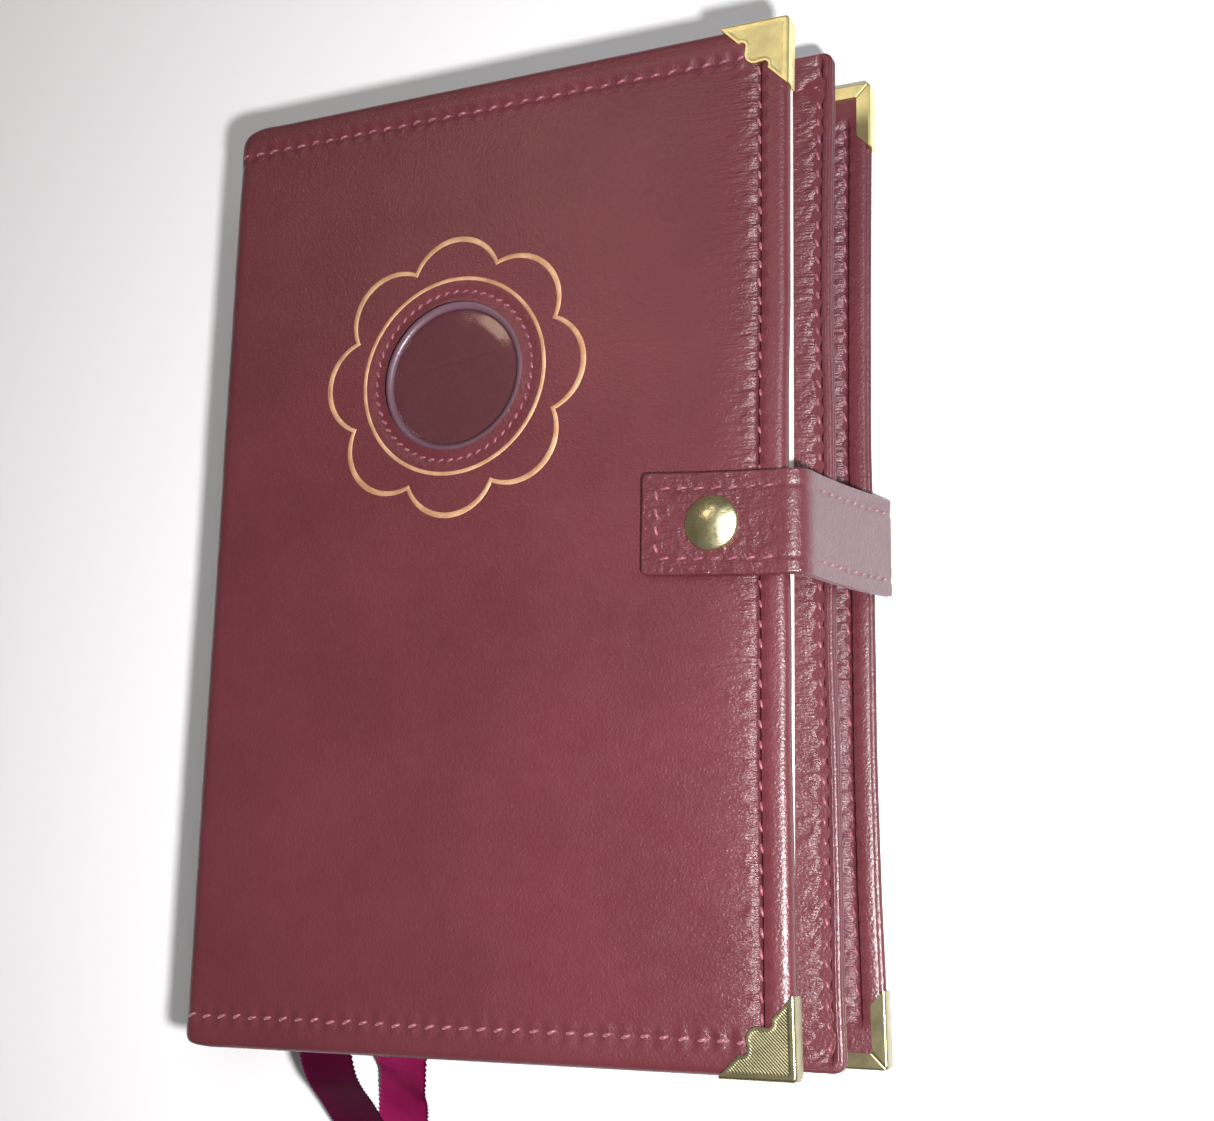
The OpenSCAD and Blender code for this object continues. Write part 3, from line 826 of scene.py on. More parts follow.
def cut_round_hole(obj, x, y, radius):
    """Removes the faces inside a circle and pulls the cut edge onto it."""
    mesh = obj.data
    co = np.empty(len(mesh.vertices) * 3)
    mesh.vertices.foreach_get("co", co)
    co = co.reshape(-1, 3) / MM
    crease = np.empty(len(mesh.vertices))
    mesh.attributes["crease"].data.foreach_get("value", crease)
    near = np.hypot(co[:, 0] - x, co[:, 1] - y)
    faces = [list(p.vertices) for p in mesh.polygons]
    inside = (near < radius) & (co[:, 2] > FRONT_LOW[2])
    kept = [f for f in faces if not any(inside[i] for i in f)]
    cut = [f for f in faces if any(inside[i] for i in f)]
    rim = sorted({i for f in cut for i in f if not inside[i]})
    for i in rim:
        k = radius / near[i]
        co[i, 0] = x + (co[i, 0] - x) * k
        co[i, 1] = y + (co[i, 1] - y) * k
    used = sorted({i for f in kept for i in f})
    number = {i: n for n, i in enumerate(used)}
    name = obj.name
    bpy.data.objects.remove(obj)
    new = mesh_object(name, co[used], [[number[i] for i in f] for f in kept])
    mark(new, "crease", crease[used])
    return new


def rough(height, width, seed):
    """Relief of plain noise with bumps of one height and width."""
    return lambda x, y: height * value_noise(x / width, y / width, seed)


def leather_sheet(low, high, radius, relief, side=1, fine=0.5, reach=12.0, coarse=1.5):
    """Flat sheet between two corners of a box with rounded edges; relief(x, y) is added to one face.

    side is 1 when that face looks up and -1 when it looks down. Returns the two grids of points.
    """
    roll = (high[2] - low[2]) / 2
    room_x, room_y = (high[0] - low[0]) / 2 - 1, (high[1] - low[1]) / 2 - 1
    xs = low[0] + edge_steps(high[0] - low[0], roll, fine, min(reach, room_x), coarse)
    ys = edge_steps(high[1] - low[1], roll, fine, min(reach, room_y), coarse)
    mid_y = (low[1] + high[1]) / 2
    half_y = (high[1] - low[1]) / 2
    x, y = np.meshgrid(xs, ys - half_y, indexing="ij")
    left = x - low[0]
    x, y, depth = rounded_corner(x, y, high[0], half_y, max(radius, 0.01))
    depth = np.minimum(depth, left)
    y = y + mid_y
    drop = half_round(depth, roll)
    raised = relief(x, y) * np.clip(depth / (2 * roll), 0, 1)
    mid = (low[2] + high[2]) / 2
    show = np.stack([x, y, mid + side * (roll - drop + raised)], -1)
    back = np.stack([x, y, mid - side * (roll - drop)], -1)
    return show, back


def sheet_object(name, grids, side, bow=None):
    """A mesh object from the two grids of a sheet, bowed with the panel it belongs to."""
    show, back = grids
    if bow:
        edge_x, amount, seed = bow
        for grid in (show, back):
            grid[..., 0] += edge_bow(grid[..., 1], grid[..., 0], edge_x, amount, seed)
    points, faces = slab(show, back, side > 0)
    return mesh_object(name, points, faces)


def make_sheet(name, node, body, side, look, radius, relief, steps=(), bow=None):
    """A sheet of leather, cloth or card in the box of its CAD node."""
    grids = leather_sheet(*node_box(node), radius, relief, side, *steps)
    finish_piece(sheet_object(name, grids, side, bow), look, body, node)


# ---------------------------------------------------------------- leather pieces


def make_front():
    lines = panel_lines(FRONT_X, STITCH_IN, STITCH_IN + 0.5, STITCH_IN - 0.2, FRONT_ROOM, FRONT_ROOM)
    skin = Skin(FRONT_X, FRONT_TOP, 1, UPPER_JOIN, *FRONT_BOW, lines)
    plain = skin.relief

    def relief(x, y, run):
        """The window seam draws the leather down a little and rolls it up against the rim."""
        away = np.hypot(x - WINDOW_X, y - WINDOW_Y) - WINDOW_R
        seam = -0.30 * hill(away - WINDOW_SEAM, 0.9)
        lip = 0.22 * hill(away - 1.2, 0.9)
        angle = np.arctan2(y - WINDOW_Y, x - WINDOW_X)
        folds = 0.07 * np.exp(-np.abs(away - 3.4) / 1.6) * np.sin(angle * 46)
        return plain(x, y, run) + seam + lip + folds

    skin.relief = relief
    cover = skin.mesh("front_leather_skin")
    cover = cut_round_hole(cover, WINDOW_X, WINDOW_Y, WINDOW_R + 0.7)
    dress_piece(cover, "leather", "front_leather", "spine_leather_upper")
    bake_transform(cover)
    stitches = sewn(skin.lines, skin.height_at, 100)
    make_thread("front_stitches", stitches, "front_panel", "front_stitching")
    ring = window_ring_stitches(skin.height_at, 52, 140)
    make_thread("window_stitches", ring, "front_panel", "window_stitching")
    return skin


def window_ring_stitches(height, count, seed):
    """Stitches round the window, each leaning across the line."""
    rng = np.random.default_rng(seed)
    radius = WINDOW_R + WINDOW_SEAM
    parts = []
    for i in range(count):
        angle = 2 * math.pi * i / count
        turn = angle + math.pi / 2 + math.radians(24 + rng.normal(0, 5))
        cx, cy = WINDOW_X + radius * math.cos(angle), WINDOW_Y + radius * math.sin(angle)
        reach = math.pi * radius / count * rng.uniform(0.66, 0.76)
        t = np.linspace(-1, 1, 6)
        px, py = cx + math.cos(turn) * reach * t, cy + math.sin(turn) * reach * t
        z = height(px, py) + 0.2 - 0.4 * np.abs(t) ** 2.5
        parts.append(stitch_thread(np.column_stack([px, py, z]), t, 0.26))
    return parts


def make_back():
    lines = panel_lines(BACK_X, *BACK_INSETS, BACK_ROOM, BACK_ROOM)
    skin = Skin(BACK_X, 0.0, -1, LOWER_JOIN, *BACK_BOW, lines)
    cover = skin.mesh("back_leather_skin")
    nodes = ("back_leather", "spine_leather_lower")
    finish_piece(cover, "leather", "back_panel", *nodes)
    stitches = sewn(skin.lines, skin.height_at, 300, up=-1, radius=0.2)
    make_thread("back_outer_stitches", stitches, "back_panel")


def make_spine_middle():
    """Leather of the spine across the divider's hinge."""
    levels = np.linspace(LOWER_JOIN, UPPER_JOIN, 36)
    ys = edge_steps(2 * HALF_H, SKIN, 0.8, 10, 1.2) - HALF_H
    level, y = np.meshgrid(levels, ys, indexing="ij")
    drop = half_round(HALF_H - np.abs(y), SKIN / 2)
    hinge_z = JOINT["divider_hinge"][2]
    crease = -0.5 * hill(level - hinge_z, 1.3)
    fade = np.clip(np.minimum(level - LOWER_JOIN, UPPER_JOIN - level) / 2, 0, 1)
    raised = crease + fade * 0.18 * value_noise(y / 7, level / 5, 61)
    x = SPINE_X - spine_bulge(level)
    y = turned_in(SPINE_X, y)
    outer = np.stack([x - raised + drop, y, level], -1)
    inner = np.stack([x + SKIN - drop, y, level], -1)
    strip = mesh_object("spine_middle_skin", *slab(outer, inner, True))
    dress_piece(strip, "leather")
    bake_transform(strip)


def make_divider():
    """The divider's two skins; a narrow band of each shows outside the pockets."""
    bow = (DIVIDER_X, *DIVIDER_BOW)
    for word, side, seed in (("upper", 1, 9), ("lower", -1, 12)):
        name, node = "divider_" + word + "_skin", "divider_leather_" + word

        def relief(x, y, seed=seed):
            return 0.5 * soft_waves(x, y, seed)

        make_sheet(name, node, "divider_panel", side, "leather", CORNER, relief, bow=bow)


def make_pocket(node, body, side, edge, card_room, lines, strength, stitched):
    """A pocket strip sewn along three edges of a panel, with its stitches on the face that shows.

    edge is (fore-edge, distance kept from it, bow, seed of the bow). stitched names the CAD thread.
    """
    edge_x, inset, bow, seed = edge
    low, high = node_box(node)
    low = [low[0], inset - HALF_H, low[2] + (card_room if side > 0 else 0)]
    high = [edge_x - inset, HALF_H - inset, high[2] - (0 if side > 0 else card_room)]
    face = high[2] if side > 0 else low[2]

    def relief(x, y):
        hem = 0.12 * hill(x - low[0] - 2.5, 1.2)
        return 0.6 * soft_waves(x, y, seed + 40) + hem + lines_relief(lines, x, y, seed + 41, strength)

    grids = leather_sheet(low, high, CORNER - inset, relief, side, 0.4, 26, 0.7)
    creases = lines[1].creased(grids[0][..., 0], grids[0][..., 1], 5.0)
    pocket = sheet_object(node + "_skin", grids, side, (edge_x, bow, seed))
    mark(pocket, "crease", [creases, creases * 0])
    finish_piece(pocket, "leather", body, node)
    points, faces = joined(sewn(lines, lambda x, y: face + side * relief(x, y), 700 + seed, up=side))
    points[:, 0] += edge_bow(points[:, 1], points[:, 0], edge_x, bow, seed)
    make_thread(node + "_stitches", [(points, faces)], body, *stitched)


def make_pockets():
    """Pocket strips and linings inside the panels."""
    card_low, card_high = node_box("book_1_front_cover")
    room = card_high[2] - card_low[2] + 0.05
    front_insets = (STITCH_IN, STITCH_IN, STITCH_IN)
    inner_front = panel_lines(FRONT_X, *front_insets, FRONT_ROOM, FRONT_ROOM, FRONT_X - POCKET_W)
    inner_back = panel_lines(BACK_X, *BACK_INSETS, BACK_ROOM, BACK_ROOM, BACK_X - (POCKET_W + 1))
    divider = panel_lines(DIVIDER_X, 3.0, 8.6, 6.0, 1.5, 3.0, DIVIDER_X - POCKET_W)
    front_edge = (FRONT_X, LAYER_STEP, *FRONT_BOW)
    back_edge = (BACK_X, LAYER_STEP, *BACK_BOW)
    divider_edge = (DIVIDER_X, LAYER_STEP, *DIVIDER_BOW)
    make_pocket("front_pocket", "front_panel", -1, front_edge, room, inner_front, 0.7, ())
    make_pocket("back_pocket", "back_panel", 1, back_edge, room, inner_back, 1.2, ["back_stitching"])
    for word, side, strength, stitched in (("upper", 1, 1.6, ["divider_stitching"]), ("lower", -1, 0.7, ())):
        node = "divider_pocket_" + word
        make_pocket(node, "divider_panel", side, divider_edge, room, divider, strength, stitched)
    for node, body, side in (("front_lining", "front_panel", -1), ("back_lining", "back_panel", 1)):
        make_sheet(node + "_cloth", node, body, side, "lining", 0.6, rough(0.05, 6, 430), (2.0, 4, 3))


# ---------------------------------------------------------------- books


def page_stack(name, node, sheet, skew, seed, bends=()):
    """A block of thin leaves, each a little out of line with the next; skew draws in the tail corner."""
    low, high = node_box(node)
    rng = np.random.default_rng(seed)
    count = max(3, int(round((high[2] - low[2]) / sheet)))
    step = (high[2] - low[2]) / count
    parts = []
    for i in range(count):
        out = rng.uniform(-0.25, 0.0)
        tail, head = rng.uniform(0, 0.25, 2)
        xs = [low[0]] + [low[0] + bend for bend in bends] + [high[0] + out]
        y0, y1 = low[1] + tail, high[1] - head
        z0, z1 = low[2] + i * step, low[2] + (i + 0.82) * step
        if i == count - 1:
            z1 = high[2]
        points = [(x, y, z) for x in xs for y, z in ((y0, z0), (y1, z0), (y1, z1), (y0, z1))]
        for k in (-4, -1):
            points[k] = (points[k][0] - skew, *points[k][1:])
        last = 4 * len(xs) - 4
        faces = [[3, 2, 1, 0], [last, last + 1, last + 2, last + 3]]
        parts.append((points, faces + grid_faces(len(xs), 4, wrap=True).tolist()))
    return mesh_object(name, *joined(parts), smooth=False)


def make_books():
    stacks = (
        ("book_1_pages", "book_1_text_block", "divider_panel", 0.9),
        ("book_1_loose_leaves", "book_1_leaves", "book_1_leaf_stack", 0.9),
        ("book_2_pages", "book_2_text_block", "back_panel", 0.3),
        ("book_2_loose_leaves", "book_2_leaves", "book_2_leaf_stack", 0.3),
    )
    for i, (name, node, body, skew) in enumerate(stacks):
        loose = body.endswith("leaf_stack")
        pages = page_stack(name, node, 0.26, skew, 500 + i, LEAF_BENDS if loose else ())
        if not loose:
            finish_piece(pages, "paper", body, node)
            continue
        dress_piece(pages, "paper", node)
        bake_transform(pages)
    covers = (
        ("book_1_front_cover", "front_panel", -1),
        ("book_1_back_cover", "divider_panel", 1),
        ("book_2_front_cover", "divider_panel", -1),
        ("book_2_back_cover", "back_panel", 1),
    )
    for i, (node, body, side) in enumerate(covers):
        make_sheet(node + "_card", node, body, side, "card", 1.5, rough(0.06, 22, 520 + i), (1.5, 4, 4))


# ---------------------------------------------------------------- brass, window and foil


def corner_mask(u, v, leg):
    """Positive inside the corner plate; u and v run inwards from the panel's corner."""
    diagonal = (leg * 1.03 - (u + v)) / math.sqrt(2)
    lobe = leg * 0.16 - np.hypot(u - leg * 0.475, v - leg * 0.475)
    inside = np.maximum(diagonal, lobe)
    for a, b in ((0.69, 0.36), (0.36, 0.69)):
        inside = np.minimum(inside, np.hypot(u - leg * a, v - leg * b) - leg * 0.07)
    return np.minimum(inside, np.minimum(leg - u, leg - v))


def snap_to_zero(u, v, leg, chosen):
    """Moves the chosen points onto the edge of the corner plate."""
    step = 0.01
    for _ in range(3):
        value = corner_mask(u, v, leg)
        slope_u = (corner_mask(u + step, v, leg) - corner_mask(u - step, v, leg)) / (2 * step)
        slope_v = (corner_mask(u, v + step, leg) - corner_mask(u, v - step, leg)) / (2 * step)
        size = np.maximum(slope_u**2 + slope_v**2, 0.2)
        u = np.where(chosen, u - np.clip(value / size * slope_u, -0.2, 0.2), u)
        v = np.where(chosen, v - np.clip(value / size * slope_v, -0.2, 0.2), v)
    return u, v


def corner_grid(leg, roll, tip):
    """Distances in from the two edges, and depth from the rim, over a square with one round corner."""
    step = 0.16
    rolled = [roll * (1 - math.cos(a)) for a in np.linspace(0, math.pi / 2, 5)]
    steps = np.concatenate([rolled, np.arange(roll + step, leg + 0.3, step)])
    u, v = np.meshgrid(steps, steps, indexing="ij")
    inward_x, inward_y, depth = rounded_corner(-u, v - leg, 0, leg, tip)
    return -inward_x, leg + inward_y, depth


def cut_to_mask(u, v, leg, roll):
    """Quads that lie in the corner plate, with the points of their rim moved onto its outline."""
    quads = grid_faces(*u.shape)
    centre = corner_mask(u, v, leg).reshape(-1)[quads].mean(axis=1)
    quads = quads[centre > 0]
    count = np.zeros(u.size, int)
    np.add.at(count, quads.reshape(-1), 1)
    count = count.reshape(u.shape)
    rim = (count > 0) & (count < 4) & (np.minimum(u, v) > roll / 2)
    return quads, *snap_to_zero(u, v, leg, rim)


def plate_mesh(quads, top, under, flip):
    """Points and faces of a closed plate from the quads of its top and the matching underside."""
    used = np.unique(quads)
    number = -np.ones(len(top), int)
    number[used] = np.arange(len(used))
    upper = number[quads][:, ::-1] if flip else number[quads]
    faces = upper.tolist() + (upper[:, ::-1] + len(used)).tolist()
    edges = {(q[i], q[(i + 1) % 4]) for q in upper.tolist() for i in range(4)}
    for p, q in sorted(edges):
        if (q, p) not in edges:
            faces.append([q, p, p + len(used), q + len(used)])
    return np.vstack([top[used], under[used]]), faces


def make_brass_corner(name, node, body, panel, end, side):
    """Pressed sheet-brass corner: ribbed field, smooth raised border, square sides, narrow flange.

    panel is (fore-edge, underside, bow, seed of the bow); end is 1 at the head and -1 at the tail;
    side is 1 when the ribbed face looks up and the flange down.
    """
    edge_x, base, bow, seed = panel
    leg, flange, sheet, roll, tip, rib_pitch = 16.0, 3.4, 0.4, 0.5, 1.1, 0.7
    play = 0.02
    half = PANEL / 2 + sheet / 2 + 0.1
    u, v, depth = corner_grid(leg, roll, tip)
    quads, u, v = cut_to_mask(u, v, leg, roll)
    inside = corner_mask(u, v, leg)
    drop = half_round(np.minimum(depth, roll), roll)
    field = np.clip((inside - 0.55) / 0.3, 0, 1) * np.clip((depth - 1.3) / 0.3, 0, 1)
    rib = 0.5 + 0.5 * np.cos((u - v) * 2 * math.pi / rib_pitch)
    emboss = np.clip(depth / roll, 0, 1) * (0.14 * (1 - field) + 0.15 * field * rib)
    mid = base + (PANEL + sheet) / 2 + 0.1
    mitre = 0.12 * hill(u - v, 0.25)
    behind = np.where(np.minimum(u, v) < flange, half - drop - mitre, 0.5 - half)
    x = edge_x + sheet + play - u
    y = end * (HALF_H + sheet + play - v)
    x = x + edge_bow(y, x, edge_x, bow, seed)
    top = np.stack([x, y, mid + side * (half - drop + emboss)], -1).reshape(-1, 3)
    under = np.stack([x, y, mid - side * behind], -1).reshape(-1, 3)
    points, faces = plate_mesh(quads, top, under, end * side > 0)
    points[:, 2] = np.maximum(points[:, 2], base if base > 0 else play)
    # head corners take the brass with painted highlight, tail corners the brass with painted shade
    brass = "brass_painted_highlight" if end > 0 else "brass_painted_shade"
    finish_piece(mesh_object(name, points, faces, sharp=50), brass, body, node)


def make_corners():
    front = (FRONT_X, FRONT_LOW[2], *FRONT_BOW)
    back = (BACK_X, 0.0, *BACK_BOW)
    for end, word in ((1, "head"), (-1, "tail")):
        make_brass_corner("front_brass_" + word, "front_corner_" + word, "front_panel", front, end, 1)
        make_brass_corner("back_brass_" + word, "back_corner_" + word, "back_panel", back, end, -1)


def make_window():
    """Vinyl rim, clear film with a slight dome and the dark backing behind it."""
    r = WINDOW_R
    rim_z = FRONT_TOP - 0.75
    rim = [(r + 0.95, -0.4), (r + 1.0, 0.25), (r + 0.55, 0.62), (r - 0.1, 0.66), (r - 0.75, 0.3)]
    rim += [(r - 1.0, -0.25), (r - 0.9, -0.6), (r + 0.9, -0.6)]
    bead = mesh_object("window_rim", *lathe(rim, (WINDOW_X, WINDOW_Y, rim_z), ROUND_STEPS, closed=True))
    finish_piece(bead, "bead", "front_panel", "window_ring")
    radii = np.linspace(0.05, r - 0.5, 20)
    dome = [(a, 0.1 - 0.55 * (a / r) ** 6) for a in radii]
    dome += [(a, h - 0.3) for a, h in dome[::-1]]
    points, faces = lathe(dome, (WINDOW_X, WINDOW_Y, rim_z), ROUND_STEPS)
    points[:, 2] += 0.10 * value_noise(points[:, 0] / 8, points[:, 1] / 8, 71)
    film = mesh_object("window_clear_film", points, faces)
    finish_piece(film, "film", "front_panel", "window_film")
    backing_top = node_box("medallion_backing")[1][2]
    radii = np.linspace(0.05, r + 1.2, 40)
    plate = [(a, 0.0) for a in radii] + [(a, -0.45) for a in radii[::-1]]
    points, faces = lathe(plate, (WINDOW_X, WINDOW_Y, backing_top), ROUND_STEPS)
    off_line = points[:, 1] - WINDOW_Y - 4 - 0.15 * (points[:, 0] - WINDOW_X)
    points[:, 2] += 0.08 * value_noise(points[:, 0] / 3, points[:, 1] / 3, 73)
    points[:, 2] -= 0.25 * hill(off_line, 0.35)
    backing = mesh_object("window_backing", points, faces)
    finish_piece(backing, "backing", "front_panel", "medallion_backing")


def rosette_radius(angle, reach, lobe, count):
    """Outer radius of a ring of round lobes in a direction."""
    step = 2 * math.pi / count
    off = (angle + step / 2) % step - step / 2
    return reach * np.cos(off) + np.sqrt(np.clip(lobe**2 - (reach * np.sin(off)) ** 2, 0, None))


def foil_line(radius_of, half_width, height, steps=720):
    """Thin foil band round the window that follows the leather."""
    angle = np.arange(steps) * 2 * math.pi / steps
    rows = []
    for side, lift in ((-1, -0.05), (-0.8, 0.05), (0.8, 0.05), (1, -0.05)):
        r = radius_of(angle) + side * half_width
        x, y = WINDOW_X + r * np.cos(angle), WINDOW_Y + r * np.sin(angle)
        rows.append(np.column_stack([x, y, height(x, y) + lift]))
    return np.vstack(rows), grid_faces(4, steps, wrap=True)[:, ::-1]


def make_ornament(skin):
    """Gold rosette of round lobes with a thin ring inside it, pressed into the leather."""
    lobe = ORNAMENT_R * 0.36
    reach = ORNAMENT_R - lobe
    outline = foil_line(lambda a: rosette_radius(a, reach, lobe - 0.7, LOBES), 0.72, skin.height_at)
    ring = foil_line(lambda a: 0 * a + ORNAMENT_R * 0.69, 0.5, skin.height_at)
    foil = mesh_object("gold_rosette", *joined([outline, ring]))
    finish_piece(foil, "foil", "front_panel", "front_ornament")


# ---------------------------------------------------------------- strap


class StrapLine:
    """Middle line of the strap from the tab's tip: flat, round over the fold, then straight to the root."""

    bend = 3.8
    thick = (TAB_HIGH[2] - TAB_LOW[2]) / 2  # of one of the strap's two layers

    def __init__(self):
        self.fold_x, self.fold_z = JOINT["strap_tab_hinge"][0], JOINT["strap_tab_hinge"][2]
        root_x, root_z = JOINT["strap_root_hinge"][0], JOINT["strap_root_hinge"][2]
        lean = math.atan2(root_x - self.fold_x, self.fold_z - root_z)
        self.turn = math.pi / 2 - lean
        tangent = self.bend * math.tan(self.turn / 2)
        self.flat = self.fold_x - TAB_LOW[0] - tangent
        self.arc = self.bend * self.turn
        self.total = self.flat + self.arc + math.hypot(root_x - self.fold_x, self.fold_z - root_z) - tangent

    def at(self, run):
        """Point (x, level) and outward normal at a distance from the tip."""
        angle = np.clip((run - self.flat) / self.bend, 0, self.turn)
        rest = np.clip(run - self.flat - self.arc, 0, None)
        x = TAB_LOW[0] + np.minimum(run, self.flat) + self.bend * np.sin(angle) + rest * math.cos(self.turn)
        z = self.fold_z - self.bend * (1 - np.cos(angle)) - rest * math.sin(self.turn)
        return x, z, np.sin(angle), np.cos(angle)

    def sway(self, run):
        """The strap sits a little nearer the tail at its fold."""
        return -1.8 * np.sin(math.pi * np.clip(run / self.total, 0, 1))

    def strength(self, run):
        """The tab is crumpled from use and the band is smooth."""
        return 0.15 + 0.85 * np.clip((self.flat + 1 - run) / 6, 0, 1)

    def relief(self, run, across):
        """Height of the outer layer's face."""
        inside = STRAP_W / 2 - STRAP_INSET - np.abs(across)
        force = self.strength(run)
        groove = -0.24 * hill(inside, 0.6)
        ends = crests(run / 2.4 + value_noise(run / 6, across / 5, 81), across, 82)
        rough = crests(run / 1.3, across / 1.4, 83)
        broad = crests(run / 6, across / 3.2, 85)
        slow = 0.1 * value_noise(run / 12, across / 12, 84)
        return groove + slow + force * (0.17 * ends + 0.10 * rough + 0.18 * broad)

    def layer(self, name, run0, run1, outer, open_tip):
        """One leather layer between two runs; outer is 1 for the layer that shows."""
        half_w = STRAP_W / 2
        roll = self.thick / 2
        tip = 1.2
        runs = np.linspace(run0, run1, int((run1 - run0) / 0.35) + 2)
        if open_tip:
            rolled = run0 + roll * (1 - np.cos(np.linspace(0, math.pi / 2, 5)))
            runs = np.concatenate([rolled, runs[runs > run0 + roll + 0.1]])
        ys = edge_steps(STRAP_W, roll, 0.35, half_w - 1, 0.35) - half_w
        run, y = np.meshgrid(runs, ys, indexing="ij")
        depth = half_w - np.abs(y)
        if open_tip:
            turned_x, y, depth = rounded_corner(run0 - run, y, 0, half_w, tip)
            run = run0 - turned_x
        drop = half_round(np.clip(depth, 0, None), roll)
        x, z, normal_x, normal_z = self.at(run)
        fade = np.clip(depth / roll, 0, 1)
        if outer > 0:
            far, near = self.thick - drop + self.relief(run, y) * fade, drop
        else:
            far, near = -drop, -self.thick + drop
        y = y + self.sway(run)
        top = np.stack([x + normal_x * far, y, z + normal_z * far], -1)
        bottom = np.stack([x + normal_x * near, y, z + normal_z * near], -1)
        obj = mesh_object(name, *slab(top, bottom, True), sharp=60)
        mark(obj, "crease", [self.strength(run) * 0.45 * (outer > 0), run * 0])
        # painted sheen: the band's colour turns paler past the fold, standing in for the light it catches
        painted_sheen = np.clip((run - self.flat - 0.5 * self.arc) / 5, 0, 1)
        mark(obj, "painted_sheen", [painted_sheen, painted_sheen])
        return obj

    def stitches(self, run0, run1, across, seed):
        """Stitches along the strap at a distance from its middle."""
        rng = np.random.default_rng(seed)
        count = round((run1 - run0) / STRAP_PITCH)
        pitch = (run1 - run0) / count
        parts = []
        for i in range(count):
            t = np.linspace(-1, 1, STITCH_STEPS)
            run = run0 + (i + 0.5) * pitch + t * pitch * rng.uniform(0.29, 0.33)
            side = across + t * rng.normal(0.22, 0.05)
            x, z, normal_x, normal_z = self.at(run)
            lift = self.thick + self.relief(run, side) + 0.2 - 0.5 * np.abs(t) ** 2.5
            path = np.column_stack([x + normal_x * lift, side + self.sway(run), z + normal_z * lift])
            parts.append(stitch_thread(path, t, 0.25))
        return parts

    def tip_stitches(self):
        """Stitches across the strap near its tip."""
        side = STRAP_W / 2 - STRAP_INSET
        x = TAB_LOW[0] + STRAP_INSET
        line = StitchLine((x, side), (x, -side), STRAP_PITCH)
        return line.stitches(lambda x, y: self.fold_z + self.thick + self.relief(x - TAB_LOW[0], y), 602)


def make_strap():
    """Tab, fold and band of the press-stud strap."""
    strap = StrapLine()
    tab_end = strap.flat - 1.5
    fold_end = strap.flat + strap.arc + 2.5
    for outer, word in ((1, "outer"), (-1, "lining")):
        tab = strap.layer("strap_tab_" + word + "_skin", 0, tab_end, outer, True)
        finish_piece(tab, "strap", "strap_tab", "strap_tab_" + word)
        fold = strap.layer("strap_fold_" + word, tab_end, fold_end, outer, False)
        dress_piece(fold, "strap")
        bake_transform(fold)
        band = strap.layer("strap_band_" + word + "_skin", fold_end, strap.total, outer, False)
        finish_piece(band, "strap", "strap_band", "strap_band_" + word)
    side = STRAP_W / 2 - STRAP_INSET
    tab_stitches = strap.tip_stitches()
    band_stitches = []
    for i, y in enumerate((-side, side)):
        tab_stitches += strap.stitches(STRAP_INSET, tab_end - 0.3, y, 600 + i)
        band_stitches += strap.stitches(fold_end + 0.3, strap.total - 2, y, 610 + i)
    make_thread("strap_tab_stitches", tab_stitches, "strap_tab", "strap_stitching")
    make_thread("strap_band_stitches", band_stitches, "strap_band")
    node = "strap_anchor"
    make_sheet(node + "_skin", node, "back_panel", -1, "strap", 1.0, rough(0, 1, 0), (0.6, 4, 2))
    return strap


def make_snap(strap):
    """Domed cap with a rolled lip, its socket under the tab and the stud on the front panel."""
    reach = CAP_R - 0.25
    profile = [(reach, -0.15), (CAP_R, 0.0), (CAP_R + 0.02, 0.3), (CAP_R - 0.2, 0.55)]
    for a in np.linspace(0.12, 1, 16):
        r = max(reach * math.sqrt(1 - a), 0.02)
        profile.append((r, 0.55 + 1.65 * (1 - (r / reach) ** 2)))
    cap_y = float(strap.sway(SNAP_X - TAB_LOW[0]))
    base = TAB_HIGH[2] + 0.05
    points, faces = lathe(profile, (SNAP_X, cap_y, base))
    dents = 0.04 * value_noise(points[:, 0] / 2.2, points[:, 1] / 2.2, 91)
    dents = dents + 0.02 * value_noise(points[:, 0] / 0.7, points[:, 1] / 0.7, 92)
    points[:, 2] += dents * (points[:, 2] > base + 0.6)
    cap = mesh_object("snap_cap_dome", points, faces, sharp=50)
    finish_piece(cap, "snap", "strap_tab", "snap_cap")
    socket = [(3.0, 0.1), (3.4, -0.05), (4.4, -0.05), (4.7, 0.2), (4.7, 0.9), (3.0, 0.9)]
    ring = mesh_object("snap_socket_ring", *lathe(socket, (SNAP_X, cap_y, TAB_LOW[2]), closed=True), sharp=40)
    finish_piece(ring, "snap", "strap_tab", "snap_socket")
    low, high = node_box("snap_stud")
    tall = high[2] - low[2]
    stud = [(4.3, 0.0), (4.5, 0.2), (4.3, 0.4), (1.5, 0.45), (1.4, tall - 0.6), (1.7, tall - 0.35)]
    stud += [(1.6, tall - 0.1), (1.1, tall), (0.02, tall - 0.05)]
    post = mesh_object("snap_stud_post", *lathe(stud, (SNAP_X, 0, low[2])), sharp=40)
    finish_piece(post, "snap", "front_panel", "snap_stud")


# ---------------------------------------------------------------- ribbons

# listed points along the middle of each ribbon, from inside the book to the free end
RIBBON_1 = [(-47, -95, 29), (-47, -106, 29), (-46.5, -112, 28), (-46.5, -118, 24), (-46.5, -123, 18)]
RIBBON_1 += [(-46.5, -128, 12.5), (-46.5, -134, 7.5), (-46, -141, 4), (-44.5, -149, 2.2)]
RIBBON_1 += [(-42, -157, 1.8), (-38.5, -168, 1.2), (-34.5, -182, 0.4)]
RIBBON_2 = [(-36.5, -95, 11), (-36.5, -106, 11), (-37, -112, 11), (-38, -117, 8.5), (-40, -122, 3.8)]
RIBBON_2 += [(-41.5, -128, 1), (-43, -135, 0.4), (-46, -146, 0.4), (-50, -158, 0.4), (-55, -171, 0.4)]
RIBBON_2 += [(-60.5, -184, 0.4)]


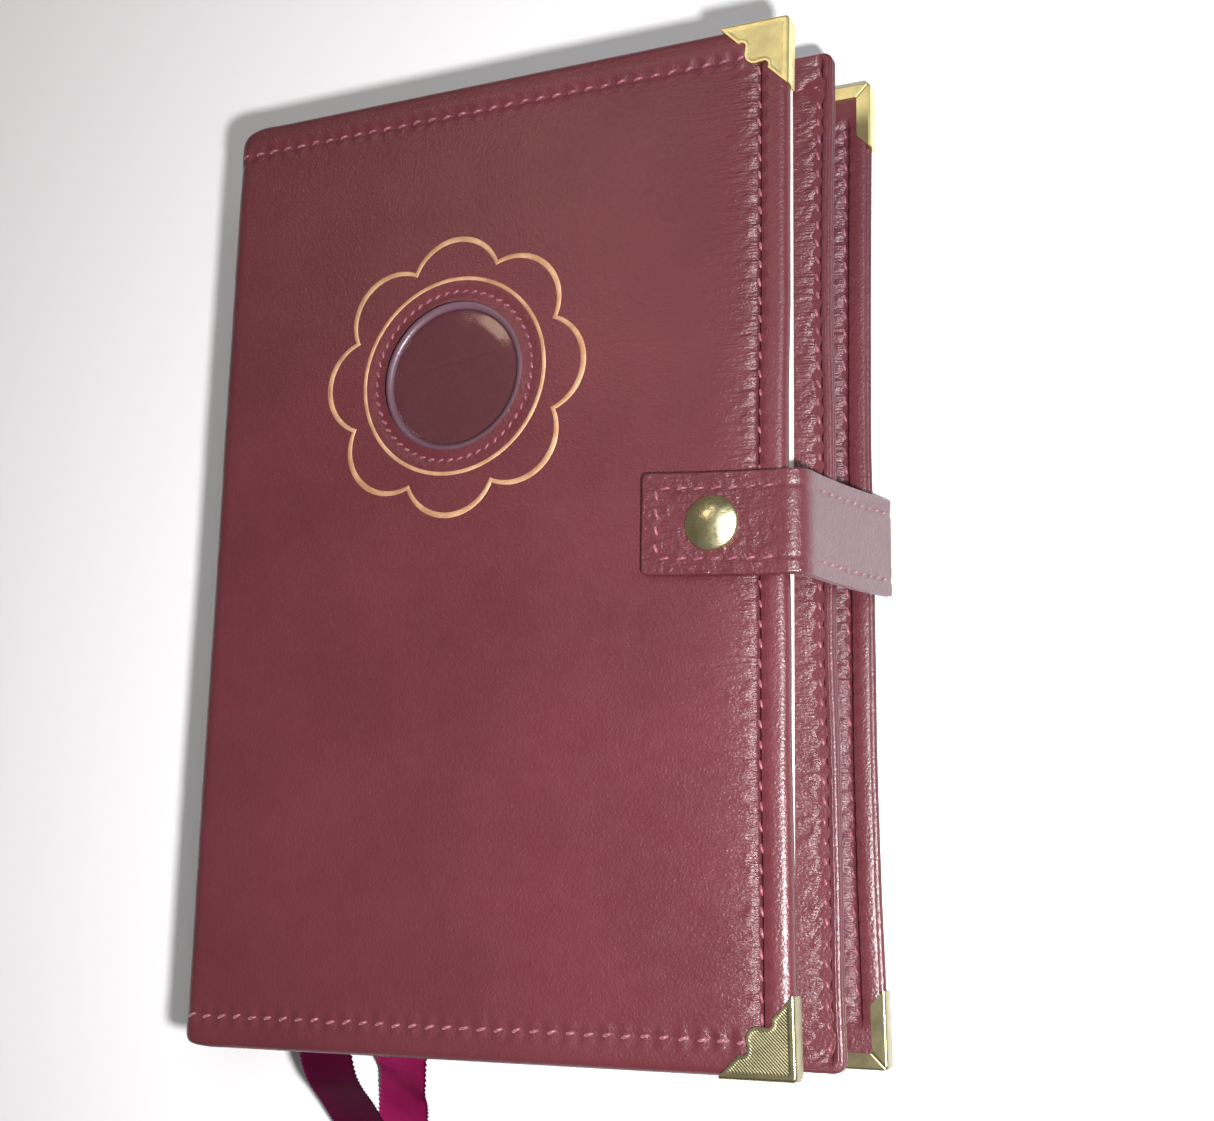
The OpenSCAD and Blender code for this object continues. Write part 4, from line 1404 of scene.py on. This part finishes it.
def smooth_path(points, steps):
    """Catmull-Rom curve through points."""
    p = np.asarray(points, float)
    p = np.vstack([2 * p[0] - p[1], p, 2 * p[-1] - p[-2]])
    t = (np.arange(steps) / steps)[:, None]
    out = []
    for i in range(1, len(p) - 2):
        a, b, c, d = p[i - 1], p[i], p[i + 1], p[i + 2]
        bend = (2 * a - 5 * b + 4 * c - d) * t**2
        out.append(0.5 * (2 * b + (c - a) * t + bend + (3 * b - a - 3 * c + d) * t**3))
    out.append(p[-2:-1])
    return np.vstack(out)


def ribbon_grids(centre, run, seed):
    """Upper and lower face of a ribbon with picot edges, cupped and curled a little across its width."""
    thick, floor = 0.28, 0.05
    ahead = np.gradient(centre, axis=0)
    ahead /= np.linalg.norm(ahead, axis=1)[:, None]
    side = np.cross(ahead, (0, 0, 1))
    side /= np.linalg.norm(side, axis=1)[:, None]
    up = np.cross(side, ahead)
    half = RIBBON_W / 2 * (1 + 0.03 * np.sin(run * 2 * math.pi / 1.1))
    curl = 0.25 * value_noise(run / 18, 0, seed)
    cup = 0.35 + 0.3 * value_noise(run / 25, 5, seed)
    outside = np.clip((run - 14) / 8, 0, 1)
    rows = []
    for c in np.linspace(-1, 1, 17):
        lift = outside * (cup * c * c * 0.9 + curl * c) + 0.05 * value_noise(run / 3, c * 3, seed + 1)
        rows.append(centre + side * (half * c)[:, None] + up * lift[:, None])
    top = np.stack(rows, 1)
    bottom = top - up[:, None] * thick
    top[..., 2] = np.maximum(top[..., 2], floor + thick)
    bottom[..., 2] = np.maximum(bottom[..., 2], floor)
    return top, bottom


def make_ribbon(name, node, body, path, look, seed):
    """Limp satin ribbon along a path."""
    centre = smooth_path(path, 24)
    centre[:, 2] = np.maximum(centre[:, 2], 0.3)
    run = np.concatenate([[0], np.cumsum(np.linalg.norm(np.diff(centre, axis=0), axis=1))])
    obj = mesh_object(name, *slab(*ribbon_grids(centre, run, seed), False))
    finish_piece(obj, look, body, node)


def make_ribbons():
    # ribbon 1 takes the satin with painted shade, ribbon 2 the satin with painted highlight
    make_ribbon("ribbon_1_satin", "ribbon_1", "divider_panel", RIBBON_1, "satin_painted_shade", 31)
    make_ribbon("ribbon_2_satin", "ribbon_2", "back_panel", RIBBON_2, "satin_painted_highlight", 33)


def paint_cad_nodes():
    """Procedural materials on the CAD nodes that stay."""
    looks = {"cover": "card", "spine": "card", "board": "board", "snap": "snap"}
    for name, obj in frame["nodes"].items():
        if obj.hide_render:
            continue
        chosen = next((look for word, look in looks.items() if word in name), "leather")
        obj.data.materials.clear()
        obj.data.materials.append(MATERIALS[chosen])


# ---------------------------------------------------------------- build

make_camera()
MATERIALS = make_materials()
make_ribbons()
make_studio()
front_skin = make_front()
make_back()
make_spine_middle()
make_divider()
make_pockets()
make_books()
make_corners()
make_window()
make_ornament(front_skin)
strap_line = make_strap()
make_snap(strap_line)
paint_cad_nodes()
